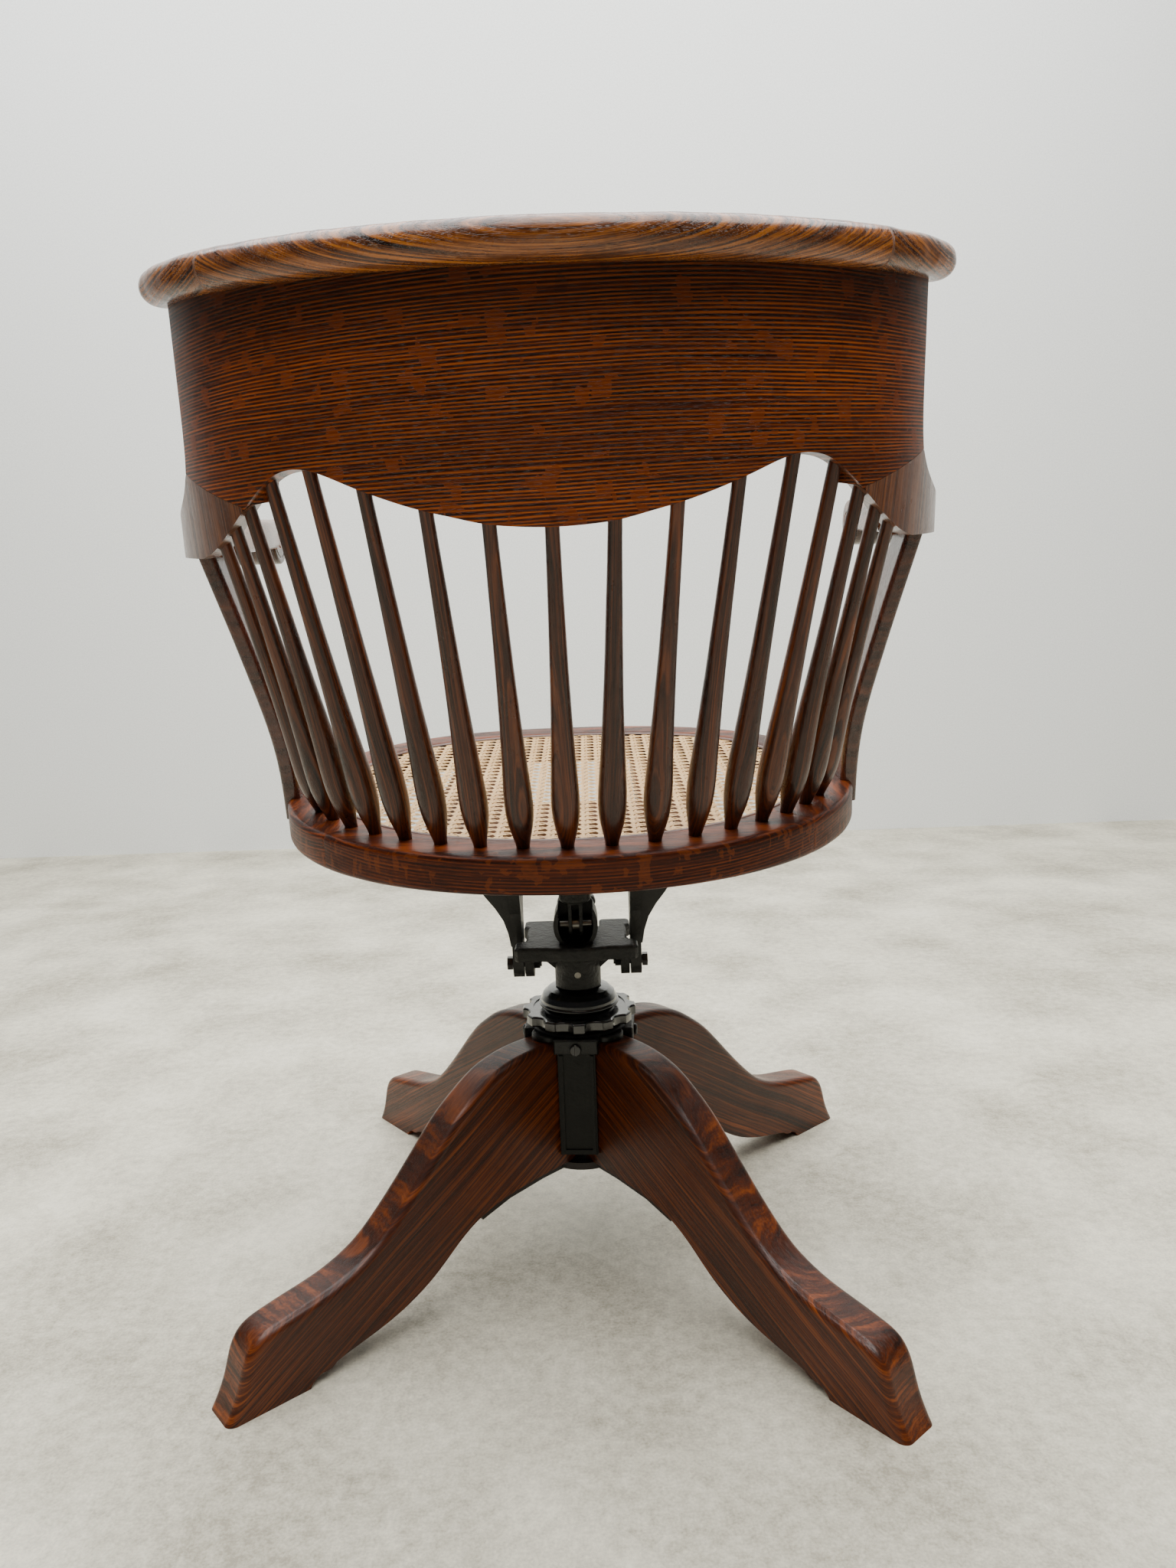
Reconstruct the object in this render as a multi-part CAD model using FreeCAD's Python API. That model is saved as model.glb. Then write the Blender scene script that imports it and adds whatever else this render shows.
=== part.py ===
# Bankers swivel chair: oak horseshoe back on seventeen turned spindles, caned seat,
# iron tilt and screw-height mechanism, four-legged oak base.
# Millimetres. +Z up, the front of the chair faces -Y, its back is towards +Y.
# Everything is laid out round the swivel axis, then moved by OY so that the origin
# is on the floor under the middle of the chair's overall box.
import FreeCAD, Part
import math, os
from FreeCAD import Vector as V, Matrix, Placement, Rotation

os.makedirs("parts", exist_ok=True)

# ------------------------------------------------------------ driving dimensions
OY = -36.51                 # swivel axis in Y, measured from the origin
RECLINE = 5.8              # backward lean of the seat at rest, degrees
PIVOT_Z = 270.0            # height of the two tilt pivots
BASE_TURN = -4.35          # rest position of the base under the seat, degrees

# base
LEG_T = 37.0               # thickness of a leg board
LEG_IN = 26.0              # inner end of a leg from the axis
TOE_R = 364.0              # reach of a toe from the axis
LEG_ROUND = 7.0            # rounding of the upper edges
HUB_R = 25.8
HUB_BORE = 13.4
HUB_Z0, HUB_Z1 = 93.0, 207.0
FLANGE_R, FLANGE_Z1 = 45.0, 215.0
COVER_W, COVER_R0, COVER_R1 = 34.0, 43.4, 46.2
COVER_Z0, COVER_Z1 = 102.0, 206.0

# screw lift
SPINDLE_R = 12.5
SPINDLE_Z0, SPINDLE_Z1 = 106.0, 281.0
WHEEL_R, WHEEL_Z0, WHEEL_Z1 = 52.4, 216.5, 229.6
WHEEL_LOBES = 12
CAP_R, CAP_Z0, CAP_Z1 = 37.0, 230.1, 247.2

# yoke
TUBE_R, TUBE_Z0 = 21.2, 247.6
PLATE_Z0, PLATE_Z1 = 284.0, 297.0
LUG_X0, LUG_X1 = 40.0, 48.0
BARREL_Z = 312.0           # height of the tension rod
BOLT_R = 4.0

# seat hoop, in the seat's own level frame (leaned back by RECLINE afterwards)
SEAT_A, SEAT_B = 243.0, 234.0
SEAT_TOP, SEAT_T = 446.4, 28.5
SEAT_NR, SEAT_NF = 2.1, 2.4
CANE_A, CANE_B = 203.0, 194.0
CANE_T = 1.8
RING_A, RING_B = 222.0, 210.0      # circle of spindle feet
N_SPINDLES = 17
SPINDLE_STEP = 8.07                # degrees of the ellipse parameter

# horseshoe back
BACK_N = 2.0
BACK_A, BACK_B = 300.5, 289.4
BACK_ZB, BACK_ZT = 650.0, 826.0
BACK_T = 22.0
ARM_Z0, ARM_Z1 = 650.0, 677.0
CREST_A, CREST_B = 315.5, 304.7
CREST_W, CREST_Z0, CREST_Z1 = 46.0, 812.2, 835.8
CREST_END = 59.0                   # ellipse parameter of the crest's ends, degrees
CREST_TIP = 4.5                    # the crest drops towards the back, degrees
CREST_PIV = (0.0, 200.0, 824.0)

X, Y, Z, O = V(1, 0, 0), V(0, 1, 0), V(0, 0, 1), V(0, 0, 0)

# ------------------------------------------------------------ helpers
def box(x0, x1, y0, y1, z0, z1):
    return Part.makeBox(x1 - x0, y1 - y0, z1 - z0, V(x0, y0, z0))

def cyl(p, d, r, h):
    return Part.makeCylinder(r, h, V(*p), d)

def tube(p, d, r1, r0, h):
    return cyl(p, d, r1, h).cut(cyl(p, d, r0, h))

def poly(pts):
    return Part.makePolygon([V(*p) for p in pts] + [V(*pts[0])])

def prism(pts, vec):
    return Part.Face(poly(pts)).extrude(vec)

def spline_edge(pts, closed=False):
    c = Part.BSplineCurve()
    c.interpolate(Points=[V(*p) for p in pts], PeriodicFlag=closed)
    return c.toShape()

def revolve(pts, axis=Z, base=O):
    return Part.Face(poly(pts)).revolve(base, axis, 360)

def se(t, a, b, n):
    "superellipse point, t = 0 at +Y, towards +X"
    s, c = math.sin(t), math.cos(t)
    return (a * math.copysign(abs(s) ** (2.0 / n), s), b * math.copysign(abs(c) ** (2.0 / n), c))

def hoop_pts(a, b, z, n=96, nr=SEAT_NR, nf=SEAT_NF):
    pts = []
    for i in range(n):
        t = 2 * math.pi * (i + 0.5) / n
        x, y = se(t, a, b, nr if math.cos(t) > 0 else nf)
        pts.append((x, y, z))
    return pts

def hoop(a, b, z0, z1, nr=SEAT_NR, nf=SEAT_NF):
    w = Part.Wire([spline_edge(hoop_pts(a, b, z0, 96, nr, nf), True)])
    return Part.Face(w).extrude(V(0, 0, z1 - z0))

def hexa(p, d, af, h):
    "hexagon prism from point p along d"
    u = X if abs(d.x) < 0.5 else Z
    w = d.cross(u)
    r = af / math.sqrt(3)
    pts = [V(*p) + u * (r * math.cos(math.radians(60 * k + 30))) + w * (r * math.sin(math.radians(60 * k + 30))) for k in range(6)]
    return Part.Face(Part.makePolygon(pts + [pts[0]])).extrude(d * h)

def fuse(a, *bs):
    s = a
    for b in bs:
        s = s.fuse(b)
    return s.removeSplitter()

def rot(s, deg, axis=Z, base=O):
    s = s.copy(); s.rotate(base, axis, deg); return s

def mirx(s):
    return s.mirror(O, X)

def try_fillet(s, r, pick):
    for f in (1.0, 0.7, 0.45):
        es = [e for e in s.Edges if pick(e)]
        if not es:
            return s
        try:
            q = s.makeFillet(r * f, es)
            if q.isValid() and q.Volume > 0:
                return q
        except Exception:
            pass
    print("  fillet not made, r", r)
    return s

def main_solid(s):
    ss = sorted(s.Solids, key=lambda q: -q.Volume)
    return ss[0]

def lean(s):
    "seat frame to resting position: back edge lower"
    return rot(s, -RECLINE, X, V(0, 0, PIVOT_Z))

OUT = {}
def put(name, s):
    s = s.copy()
    s.translate(V(0, OY, 0))
    OUT[name] = s

def screw(p, d, r, length, head_r, head_h, slot=True):
    "slotted countersunk wood screw: head face at p, driven along d"
    p = V(*p)
    head = Part.makeCone(head_r, r, head_h, p, d)
    s = fuse(head, Part.makeCylinder(r, length - head_h, p + d * head_h, d))
    if slot:
        u = X if abs(d.x) < 0.5 else Y
        u = (u - d * u.dot(d)); u.normalize()
        w = d.cross(u)
        q = p + u * (-head_r - 1) + w * (-0.5)
        a = [q, q + u * (2 * head_r + 2), q + u * (2 * head_r + 2) + w, q + w]
        s = s.cut(Part.Face(Part.makePolygon(a + [a[0]])).extrude(d * 0.8))
    return s

# ------------------------------------------------------------ base
UP = [(50, 206.6), (73.7, 205.9), (94.6, 202.3), (115.5, 194.7), (133.1, 183.7), (150.7, 170.5), (167.2, 154.5),
      (184.8, 135.5), (202.4, 117), (220, 100), (236.5, 86.8), (255.2, 77.2), (275, 71.0), (297, 66.8), (319, 62.6),
      (333.3, 58.2), (340.5, 52.5)]
TOE = [(340.5, 52.5), (346.5, 42), (350.5, 29), (355.5, 15.5), (360.5, 5.8), (TOE_R, 0)]
LOW = [(LEG_IN, 91), (60, 89), (94.6, 85.5), (117.7, 81.0), (141, 72.0), (159.5, 60.0), (176, 47.3), (195.8, 35.2),
       (214.5, 27.0), (236.5, 20.5), (258.5, 15.8), (275, 11.8)]
def leg():
    f = lambda pts: [(r, -LEG_T / 2, z) for r, z in pts]
    edges = [Part.makeLine(V(LEG_IN, -LEG_T / 2, 206.6), V(50, -LEG_T / 2, 206.6)),
             spline_edge(f(UP)), spline_edge(f(TOE)),
             Part.makeLine(V(TOE_R, -LEG_T / 2, 0), V(298, -LEG_T / 2, 0)),
             Part.Arc(V(298, -LEG_T / 2, 0), V(293, -LEG_T / 2, 6.2), V(287, -LEG_T / 2, 8.2)).toShape(),
             Part.Arc(V(287, -LEG_T / 2, 8.2), V(280, -LEG_T / 2, 8.6), V(275, -LEG_T / 2, 11.8)).toShape(),
             spline_edge(f(LOW[::-1])),
             Part.makeLine(V(LEG_IN, -LEG_T / 2, 91), V(LEG_IN, -LEG_T / 2, 206.6))]
    s = Part.Face(Part.Wire(Part.__sortEdges__(edges))).extrude(V(0, LEG_T, 0))
    def top_edge(e):
        b = e.BoundBox
        return b.YLength < 0.1 and b.XLength > 100 and b.ZMax > 150
    s = try_fillet(s, LEG_ROUND, top_edge)
    def toe_edge(e):
        b = e.BoundBox
        return b.YLength < 0.1 and b.XMin > 339 and b.ZLength > 40
    return try_fillet(s, 3.0, toe_edge)
LEG = leg()
for name, a in (("leg_rear_left", 135), ("leg_rear_right", 45), ("leg_front_right", -45), ("leg_front_left", -135)):
    put(name, rot(LEG, a + BASE_TURN))

# hub: central tube, lobed flange over the leg tops, a downturned lug over each gap
hub = cyl((0, 0, HUB_Z0), Z, HUB_R, HUB_Z1 - HUB_Z0)
fl = cyl((0, 0, HUB_Z1), Z, FLANGE_R, FLANGE_Z1 - HUB_Z1)
fl = try_fillet(fl, 3.5, lambda e: abs(e.BoundBox.ZMin - FLANGE_Z1) < 0.1 and e.BoundBox.ZLength < 0.1)
hub = fuse(hub, fl)
for k in range(4):
    lobe = cyl((38, 0, HUB_Z1), Z, 15.0, 5.5)
    hub = hub.fuse(rot(try_fillet(lobe, 2.0, lambda e: e.BoundBox.ZMin > HUB_Z1 + 5.4), 45 + 90 * k))
    lug = fuse(box(46.3, 50.5, -20, 20, 198.5, 212.5), box(40, 50.5, -20, 20, 207.2, 212.5))
    lug = try_fillet(lug, 2.0, lambda e: e.BoundBox.XMin > 50.4 and (e.BoundBox.ZLength < 0.1 or e.BoundBox.YLength < 0.1))
    boss = box(31.6, 43.3, -4.8, 4.8, 199.2, 208)
    hub = hub.fuse(rot(lug, 90 * k)).fuse(rot(boss, 90 * k))
hub = hub.removeSplitter()
hub = hub.cut(cyl((0, 0, HUB_Z0 - 1), Z, HUB_BORE, 140))
CS = 203.6                                     # height of the cover screws
for k in range(4):
    hub = hub.cut(rot(cyl((30, 0, CS), X, 2.4, 25), 90 * k))
put("hub_casting", rot(hub, BASE_TURN))

covers, cscrews = [], []
for k in range(4):
    c = box(COVER_R0, COVER_R1, -COVER_W / 2, COVER_W / 2, COVER_Z0, COVER_Z1)
    rib = [box(COVER_R1 - 0.2, COVER_R1 + 1.6, s * (COVER_W / 2 - 3.2) - 1.6 * 1, s * (COVER_W / 2 - 3.2) + 1.6, COVER_Z0 + 1.6, 196.5) for s in (-1, 1)]
    bar = box(COVER_R1 - 0.2, COVER_R1 + 1.6, -COVER_W / 2 + 1.6, COVER_W / 2 - 1.6, COVER_Z0 + 1.6, COVER_Z0 + 5.2)
    c = fuse(c, rib[0], rib[1], bar)
    c = c.cut(cyl((30, 0, CS), X, 2.7, 25))
    covers.append(rot(c, 90 * k + BASE_TURN))
    h = Part.makeCylinder(5.2, 3.0, V(50.5, 0, CS), X)
    h = try_fillet(h, 1.2, lambda e: e.BoundBox.XMin > 53.4)
    h = h.cut(box(52.2, 54, -0.7, 0.7, CS - 6, CS + 6))
    cscrews.append(rot(fuse(h, cyl((33, 0, CS), X, 2.4, 17.5)), 90 * k + BASE_TURN))
put("cover_plates", Part.makeCompound(covers))
put("cover_screws", Part.makeCompound(cscrews))

# iron cross under the hub: four arms along the undersides of the legs
cross = tube((0, 0, 84), Z, 40, 18, 6.6)
for k in range(4):
    a = 45 + 90 * k
    arm = prism([(16, -13, 84), (60, -13, 82), (98, -13, 77.5), (128, -13, 69), (130, -13, 75.0), (98.5, -13, 84.3), (60, -13, 88.6), (16, -13, 90.6)], V(0, 26, 0))
    rib = prism([(20, -3.5, 84.4), (60, -3.5, 82.4), (98, -3.5, 77.8), (120, -3.5, 71.6), (119, -3.5, 67.2), (97, -3.5, 72), (60, -3.5, 76.6), (20, -3.5, 78.5)], V(0, 7, 0))
    cross = cross.fuse(rot(fuse(arm, rib), a))
cross = cross.cut(cyl((0, 0, 60), Z, 18, 50))
cross = cross.removeSplitter()
for k in range(4):
    cross = cross.cut(rot(LEG, 45 + 90 * k))
cross = main_solid(cross)
xs = []
for k in range(4):
    a = 45 + 90 * k + BASE_TURN
    for r, s, zz, tilt in ((52, 8.3, 83.1, 2.6), (104, -8.3, 76.6, 14)):
        d = rot(Part.Vertex(V(0, 0, 1)), 0)
        dv = V(math.sin(math.radians(tilt)), 0, math.cos(math.radians(tilt)))
        sc = screw((r, s, zz), dv, 2.2, 26, 4.6, 2.6)
        xs.append(rot(sc, a))
cross = rot(cross, BASE_TURN)
scr = Part.makeCompound(xs)
cross = main_solid(cross.cut(scr))
put("base_cross", cross)
put("base_cross_screws", scr)
for name in ("leg_rear_left", "leg_rear_right", "leg_front_right", "leg_front_left"):
    s = scr.copy(); s.translate(V(0, OY, 0))
    OUT[name] = main_solid(OUT[name].cut(s))

# ------------------------------------------------------------ screw lift
put("thrust_washer", tube((0, 0, FLANGE_Z1), Z, 31, 14.0, 1.2))

wheel = cyl((0, 0, WHEEL_Z0 + 1.6), Z, WHEEL_R, 9.6)
for k in range(WHEEL_LOBES):
    a = math.radians(360.0 / WHEEL_LOBES * (k + 0.5))
    wheel = wheel.cut(cyl((58.6 * math.cos(a), 58.6 * math.sin(a), WHEEL_Z0), Z, 11.2, 20))
wheel = try_fillet(wheel, 2.6, lambda e: e.BoundBox.ZLength < 0.1)
groove = tube((0, 0, WHEEL_Z0 + 10.2), Z, 43, 33, 4)
wheel = wheel.cut(groove)
boss = revolve([(0, 0, WHEEL_Z0), (29, 0, WHEEL_Z0), (31, 0, WHEEL_Z0 + 2), (31, 0, WHEEL_Z1 - 2), (29, 0, WHEEL_Z1), (0, 0, WHEEL_Z1)])
wheel = fuse(wheel, boss).cut(cyl((0, 0, 200), Z, SPINDLE_R + 0.06, 60))
put("handwheel_nut", wheel)

# domed cap with a rolled rim; rises with the spindle
prof_o = [(12.9, CAP_Z1), (22, CAP_Z1), (28.5, 245.2), (33.0, 241.4), (35.2, 236.6), (35.6, 234.6)]
cap = revolve([(12.9, 0, CAP_Z1), (22, 0, CAP_Z1), (28.5, 0, 245.2), (33.0, 0, 241.4), (35.2, 0, 236.8), (35.8, 0, 232.4),
               (33.0, 0, 232.4), (32.3, 0, 236.2), (30.6, 0, 239.4), (27, 0, 242.2), (21.5, 0, 243.9), (12.9, 0, 243.9)])
rim = Part.makeTorus(34.7, 2.3, V(0, 0, CAP_Z0 + 2.3), Z)
cap = fuse(cap, rim)
put("dust_cap", cap)

# threaded spindle (thread drawn as its outer cylinder) fixed in the yoke
sp = cyl((0, 0, SPINDLE_Z0), Z, SPINDLE_R, SPINDLE_Z1 - SPINDLE_Z0)
sp = sp.makeChamfer(2.0, [e for e in sp.Edges if abs(e.BoundBox.ZMax - SPINDLE_Z0) < 0.1 and e.BoundBox.XLength > 5])
PINZ = 262.5
pin = cyl((0, -TUBE_R + 1.2, PINZ), Y, 3.0, 2 * TUBE_R - 2.0)
sp = sp.cut(cyl((0, -40, PINZ), Y, 3.0, 80))
put("threaded_spindle", sp)
put("spindle_pin", pin)

# yoke: tube, plate, pivot lugs, gussets and the spring barrel in one casting
yk = cyl((0, 0, TUBE_Z0), Z, TUBE_R, PLATE_Z0 - TUBE_Z0 + 1)
yk = try_fillet(yk, 1.6, lambda e: abs(e.BoundBox.ZMax - TUBE_Z0) < 0.1 and e.BoundBox.XLength > 5)
half = [(0, 53), (12, 52.2), (22, 49), (30, 47), (52, 47), (55, 44), (55, 27), (52, 24), (46, 21), (46, -21), (50, -26), (50, -43), (47, -46), (23, -46), (21, -44), (21, -24), (19, -22), (0, -22)]
outline = [(x, y, PLATE_Z0) for x, y in half] + [(-x, y, PLATE_Z0) for x, y in half[::-1] if x > 0]
plate = prism(outline, V(0, 0, PLATE_Z1 - PLATE_Z0))
plate = try_fillet(plate, 3.0, lambda e: e.BoundBox.ZLength < 0.1)
yk = fuse(yk, plate)
for s in (1, -1):
    lug = cyl((min(s * LUG_X0, s * LUG_X1), 0, PIVOT_Z), X, 13, LUG_X1 - LUG_X0)
    lug = fuse(lug, box(min(s * LUG_X0, s * LUG_X1), max(s * LUG_X0, s * LUG_X1), -13, 13, PIVOT_Z, PLATE_Z0 + 3))
    gus = prism([(s * 18, -4, PLATE_Z0 + 1), (s * 42, -4, PLATE_Z0 + 1), (s * 42, -4, 283.0), (s * 18, -4, 262)], V(0, 8, 0))
    yk = yk.fuse(lug).fuse(gus)
# spring barrel: round body forward, egg-shaped open mouth behind
body = cyl((0, -16, BARREL_Z), Y, 19, 28)
saddle = box(-15, 15, -14, 38, 294, 304)
def egg(ax, az, cz, y0, y1):
    pts = [(ax * math.cos(t) * (1 - 0.12 * math.sin(t)), y0, cz + az * math.sin(t)) for t in [2 * math.pi * k / 40 for k in range(40)]]
    return Part.Face(Part.Wire([spline_edge(pts, True)])).extrude(V(0, y1 - y0, 0))
mouth = egg(19.6, 24.5, 317.0, 8, 39)
yk = fuse(yk, body, saddle, mouth)
yk = yk.cut(cyl((0, -20, BARREL_Z), Y, 15.2, 26))                # spring bore, open in front
yk = yk.cut(egg(15.6, 22.0, 316.5, 11, 50))                       # dark mouth behind
yk = yk.cut(box(-15.6, 15.6, 11, 50, 322, 350))                   # open top for the finger
yk = yk.cut(cyl((0, 0, BARREL_Z), Y, 4.3, 20))                    # rod hole in the inner wall
yk = yk.cut(cyl((0, 0, 240), Z, SPINDLE_R, SPINDLE_Z1 - 240))
yk = yk.cut(cyl((0, -40, PINZ), Y, 3.0, 80))
yk = yk.cut(cyl((-60, 0, PIVOT_Z), X, BOLT_R, 120))
yk = main_solid(yk.removeSplitter())
put("yoke_casting", yk)

bolts, nuts = [], []
for s in (1, -1):
    d = X * s
    sh = cyl((s * 33.2, 0, PIVOT_Z), d, BOLT_R, 27.0)
    hd = hexa((s * 60.0, 0, PIVOT_Z), d, 11.0, 5.0)
    bolts.append(fuse(sh, hd))
    n = hexa((s * 34.6, 0, PIVOT_Z), d, 10.0, 5.4).cut(cyl((s * 30, 0, PIVOT_Z), d, BOLT_R, 12))
    nuts.append(n)
put("pivot_bolts", Part.makeCompound(bolts))
put("pivot_nuts", Part.makeCompound(nuts))

# tension rod with eye and cross pin; spring, washer and knob in front
PIN_Y = 24.0
rod = cyl((0, -64, BARREL_Z), Y, 4.0, 64 + 17)
rod = rod.fuse(box(-2.9, 2.9, 12, PIN_Y - 4, BARREL_Z - 2.7, BARREL_Z + 2.7))
eye = cyl((-2.9, PIN_Y, BARREL_Z), X, 6.0, 5.8)
rod = fuse(rod, eye).cut(cyl((-5, PIN_Y, BARREL_Z), X, 3.0, 10))
put("tension_rod", rod)
put("rod_cross_pin", cyl((-14.2, PIN_Y, BARREL_Z), X, 3.0, 28.4))

def coil(r, wire, length, pitch):
    h = Part.makeHelix(pitch, length, r)
    c = Part.Wire([Part.Circle(V(r, 0, 0), V(0, 1, 0), wire / 2).toShape()])
    s = Part.Wire(h.Edges).makePipeShell([c], True, True)
    return s
spring = coil(11.8, 4.2, 33.0, 6.6)
spring = rot(spring, -90, X)                    # along +Y
spring.translate(V(0, -30.9, BARREL_Z))
put("coil_spring", spring)
put("spring_washer", tube((0, -35.8, BARREL_Z), Y, 16.0, 4.06, 2.6))
kp = [(4.06, -36.2), (9, -36.2), (16.5, -37.2), (18.6, -40), (18.9, -46), (17.5, -50.5), (12.5, -53.5), (8.6, -55.5), (7.8, -59.5), (4.06, -59.5)]
knob = revolve([(r, y, 0) for r, y in kp], Y)
knob.translate(V(0, 0, BARREL_Z))
for k in range(10):
    a = math.radians(36 * k)
    knob = knob.cut(cyl((20.4 * math.cos(a), -60, BARREL_Z + 20.4 * math.sin(a)), Y, 3.2, 30))
put("tension_knob", knob)

# ------------------------------------------------------------ seat irons
def bracket(s):
    ear = prism([(s * 49.2, -13, PIVOT_Z), (s * 49.2, -13.5, 300), (s * 49.2, -19, 325), (s * 49.2, -34, 360), (s * 49.2, -52, 392), (s * 49.2, -52, 402.9),
                 (s * 49.2, 52, 402.9), (s * 49.2, 52, 392), (s * 49.2, 34, 360), (s * 49.2, 19, 325), (s * 49.2, 13.5, 300), (s * 49.2, 13, PIVOT_Z)], V(s * 9.8, 0, 0))
    low = cyl((s * 49.2, 0, PIVOT_Z), X * s, 13, 9.8)
    web = [(50, 402), (50, 287), (60.6, 287.4), (62.6, 300), (66.6, 313), (73.5, 325), (82.5, 337), (93, 354), (101, 374), (106, 397), (106, 402)]
    web = prism([(s * x, -3.6, z) for x, z in web], V(0, 7.2, 0))
    flange = box(min(s * 49.2, s * 118), max(s * 49.2, s * 118), -60, 60, 397.2, 403)
    b = fuse(ear, low, web)
    b = b.cut(prism([(s * 40, -8, 318), (s * 40, -13, 340), (s * 40, -24, 366), (s * 40, -34, 384), (s * 40, -10, 388), (s * 40, -8, 360)], V(s * 30, 0, 0)))
    b = b.cut(prism([(s * 40, 8, 318), (s * 40, 13, 340), (s * 40, 24, 366), (s * 40, 34, 384), (s * 40, 10, 388), (s * 40, 8, 360)], V(s * 30, 0, 0)))
    b = fuse(b, flange)
    b = try_fillet(b, 8.0, lambda e: e.BoundBox.ZLength > 5 and e.BoundBox.ZLength < 6.5 and abs(e.BoundBox.XMin) > 110)
    return b.cut(cyl((s * 45, 0, PIVOT_Z), X * s, BOLT_R + 0.06, 20))
bscr, holes = [], []
for s in (1, -1):
    for y in (-48, 48):
        for x in (70, 106):
            bscr.append(screw((s * x, y, 397.0), Z, 2.4, 20, 4.8, 2.6))
bscr = Part.makeCompound(bscr)
BR, BL = bracket(1).cut(bscr), bracket(-1).cut(bscr)

# finger: round stem under the centre rail, forked end with a slot for the cross pin
stem = cyl((0, 27, 334), Z, 14.5, 75)
stem = try_fillet(stem, 3.5, lambda e: abs(e.BoundBox.ZMax - 334) < 0.1)
fork = box(-6.4, 6.4, 19.6, 30.8, 307.1, 338)
fork = fork.fuse(cyl((-6.4, 25.2, 307.1), X, 5.6, 12.8)).removeSplitter()
slot = box(-8, 8, PIN_Y - 3.45, PIN_Y + 3.45, BARREL_Z, BARREL_Z + 5.2)
slot = slot.fuse(cyl((-8, PIN_Y, BARREL_Z), X, 3.45, 16)).fuse(cyl((-8, PIN_Y, BARREL_Z + 5.2), X, 3.45, 16))
finger = fuse(stem, fork).cut(slot)
finger = finger.cut(box(-3.4, 3.4, 10, 32, 290, 331))
top = box(-60, 60, -60, 120, 404.95, 460)
finger = finger.cut(lean(top))
pad = lean(box(-26, 26, 8, 54, 400.2, 404.95))
pad = try_fillet(pad, 3, lambda e: 4 < e.Length < 5.2)
finger = fuse(finger, pad)
fscr = Part.makeCompound([lean(screw((x, y, 400.0), Z, 2.2, 18, 4.4, 2.4)) for x in (-20.5, 20.5) for y in (14, 48)])
finger = finger.cut(fscr)
finger = main_solid(finger)

# ------------------------------------------------------------ seat woodwork (level frame)
RAIL_Z0, RAIL_Z1 = 403.0, 423.0
def rail(s):
    r = prism([(s * 60, -196, RAIL_Z0 + 8), (s * 60, -184, RAIL_Z0), (s * 60, 150, RAIL_Z0), (s * 60, 178, RAIL_Z0 + 8), (s * 60, 196, RAIL_Z0 + 12), (s * 60, 196, RAIL_Z1), (s * 60, -196, RAIL_Z1)], V(s * 60, 0, 0))
    return r
RR, RL = rail(1), rail(-1)
CR = box(-60, 60, -2, 64, 404.95, RAIL_Z1)
rscr = []
for s in (1, -1):
    for y, zz in ((-183, RAIL_Z0), (184, RAIL_Z0 + 9.3)):
        for x in (76, 104):
            rscr.append(screw((s * x, y, zz), Z, 2.4, 32, 4.8, 2.6))
rscr = Part.makeCompound(rscr)
for_rails = rscr.fuse(bscr) if False else None
RR = RR.cut(rscr).cut(bscr); RL = RL.cut(rscr).cut(bscr)

seat = hoop(SEAT_A, SEAT_B, SEAT_TOP - SEAT_T, SEAT_TOP)
seat = try_fillet(seat, 4.5, lambda e: e.BoundBox.ZLength < 0.1)
seat = seat.cut(hoop(CANE_A - 7, CANE_B - 7, 400, 460, 2.1, 2.6))
seat = seat.cut(hoop(CANE_A, CANE_B, SEAT_TOP - 3.0, 460, 2.1, 2.6))
seat = seat.cut(RR).cut(RL).cut(rscr)
cane = hoop(CANE_A, CANE_B, SEAT_TOP - 3.0, SEAT_TOP - 3.0 + CANE_T, 2.1, 2.6)
spl = hoop(CANE_A, CANE_B, SEAT_TOP - 1.2, SEAT_TOP + 0.9, 2.1, 2.6).cut(hoop(CANE_A - 4.5, CANE_B - 4.5, 430, 460, 2.1, 2.6))

# ------------------------------------------------------------ horseshoe back (level frame)
def arc_pts(a, b, n, z, t0, t1, k=40):
    out = []
    for i in range(k + 1):
        t = t0 + (t1 - t0) * i / k
        x, y = se(t, a, b, n)
        out.append((x, y, z))
    return out
def even(ptsf, t0, t1, k):
    "points spaced evenly by arc length"
    fine = [ptsf(t0 + (t1 - t0) * i / 1500.0) for i in range(1501)]
    d = [0.0]
    for i in range(1500):
        d.append(d[-1] + math.dist(fine[i], fine[i + 1]))
    out, j = [], 0
    for i in range(k + 1):
        want = d[-1] * i / k
        while j < 1500 and d[j] < want - 1e-9:
            j += 1
        out.append(fine[min(j, 1500)])
    return out
def band_wire(a, b, n, z, thick, te, k=44):
    o = [(p[0], p[1], z) for p in even(lambda t: se(t, a, b, n), -te, te, k)]
    i = []
    for m in range(len(o)):
        p0, p1 = o[max(m - 1, 0)], o[min(m + 1, len(o) - 1)]
        tx, ty = p1[0] - p0[0], p1[1] - p0[1]
        L = math.hypot(tx, ty)
        i.append((o[m][0] + ty / L * thick, o[m][1] - tx / L * thick, z))
    return Part.Wire([spline_edge(o), Part.makeLine(V(*o[-1]), V(*i[-1])), spline_edge(i[::-1]), Part.makeLine(V(*i[0]), V(*o[0]))])
TE = math.radians(80)
band = Part.Face(band_wire(BACK_A, BACK_B, BACK_N, BACK_ZB, BACK_T, TE)).extrude(V(0, 0, BACK_ZT - BACK_ZB))

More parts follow.
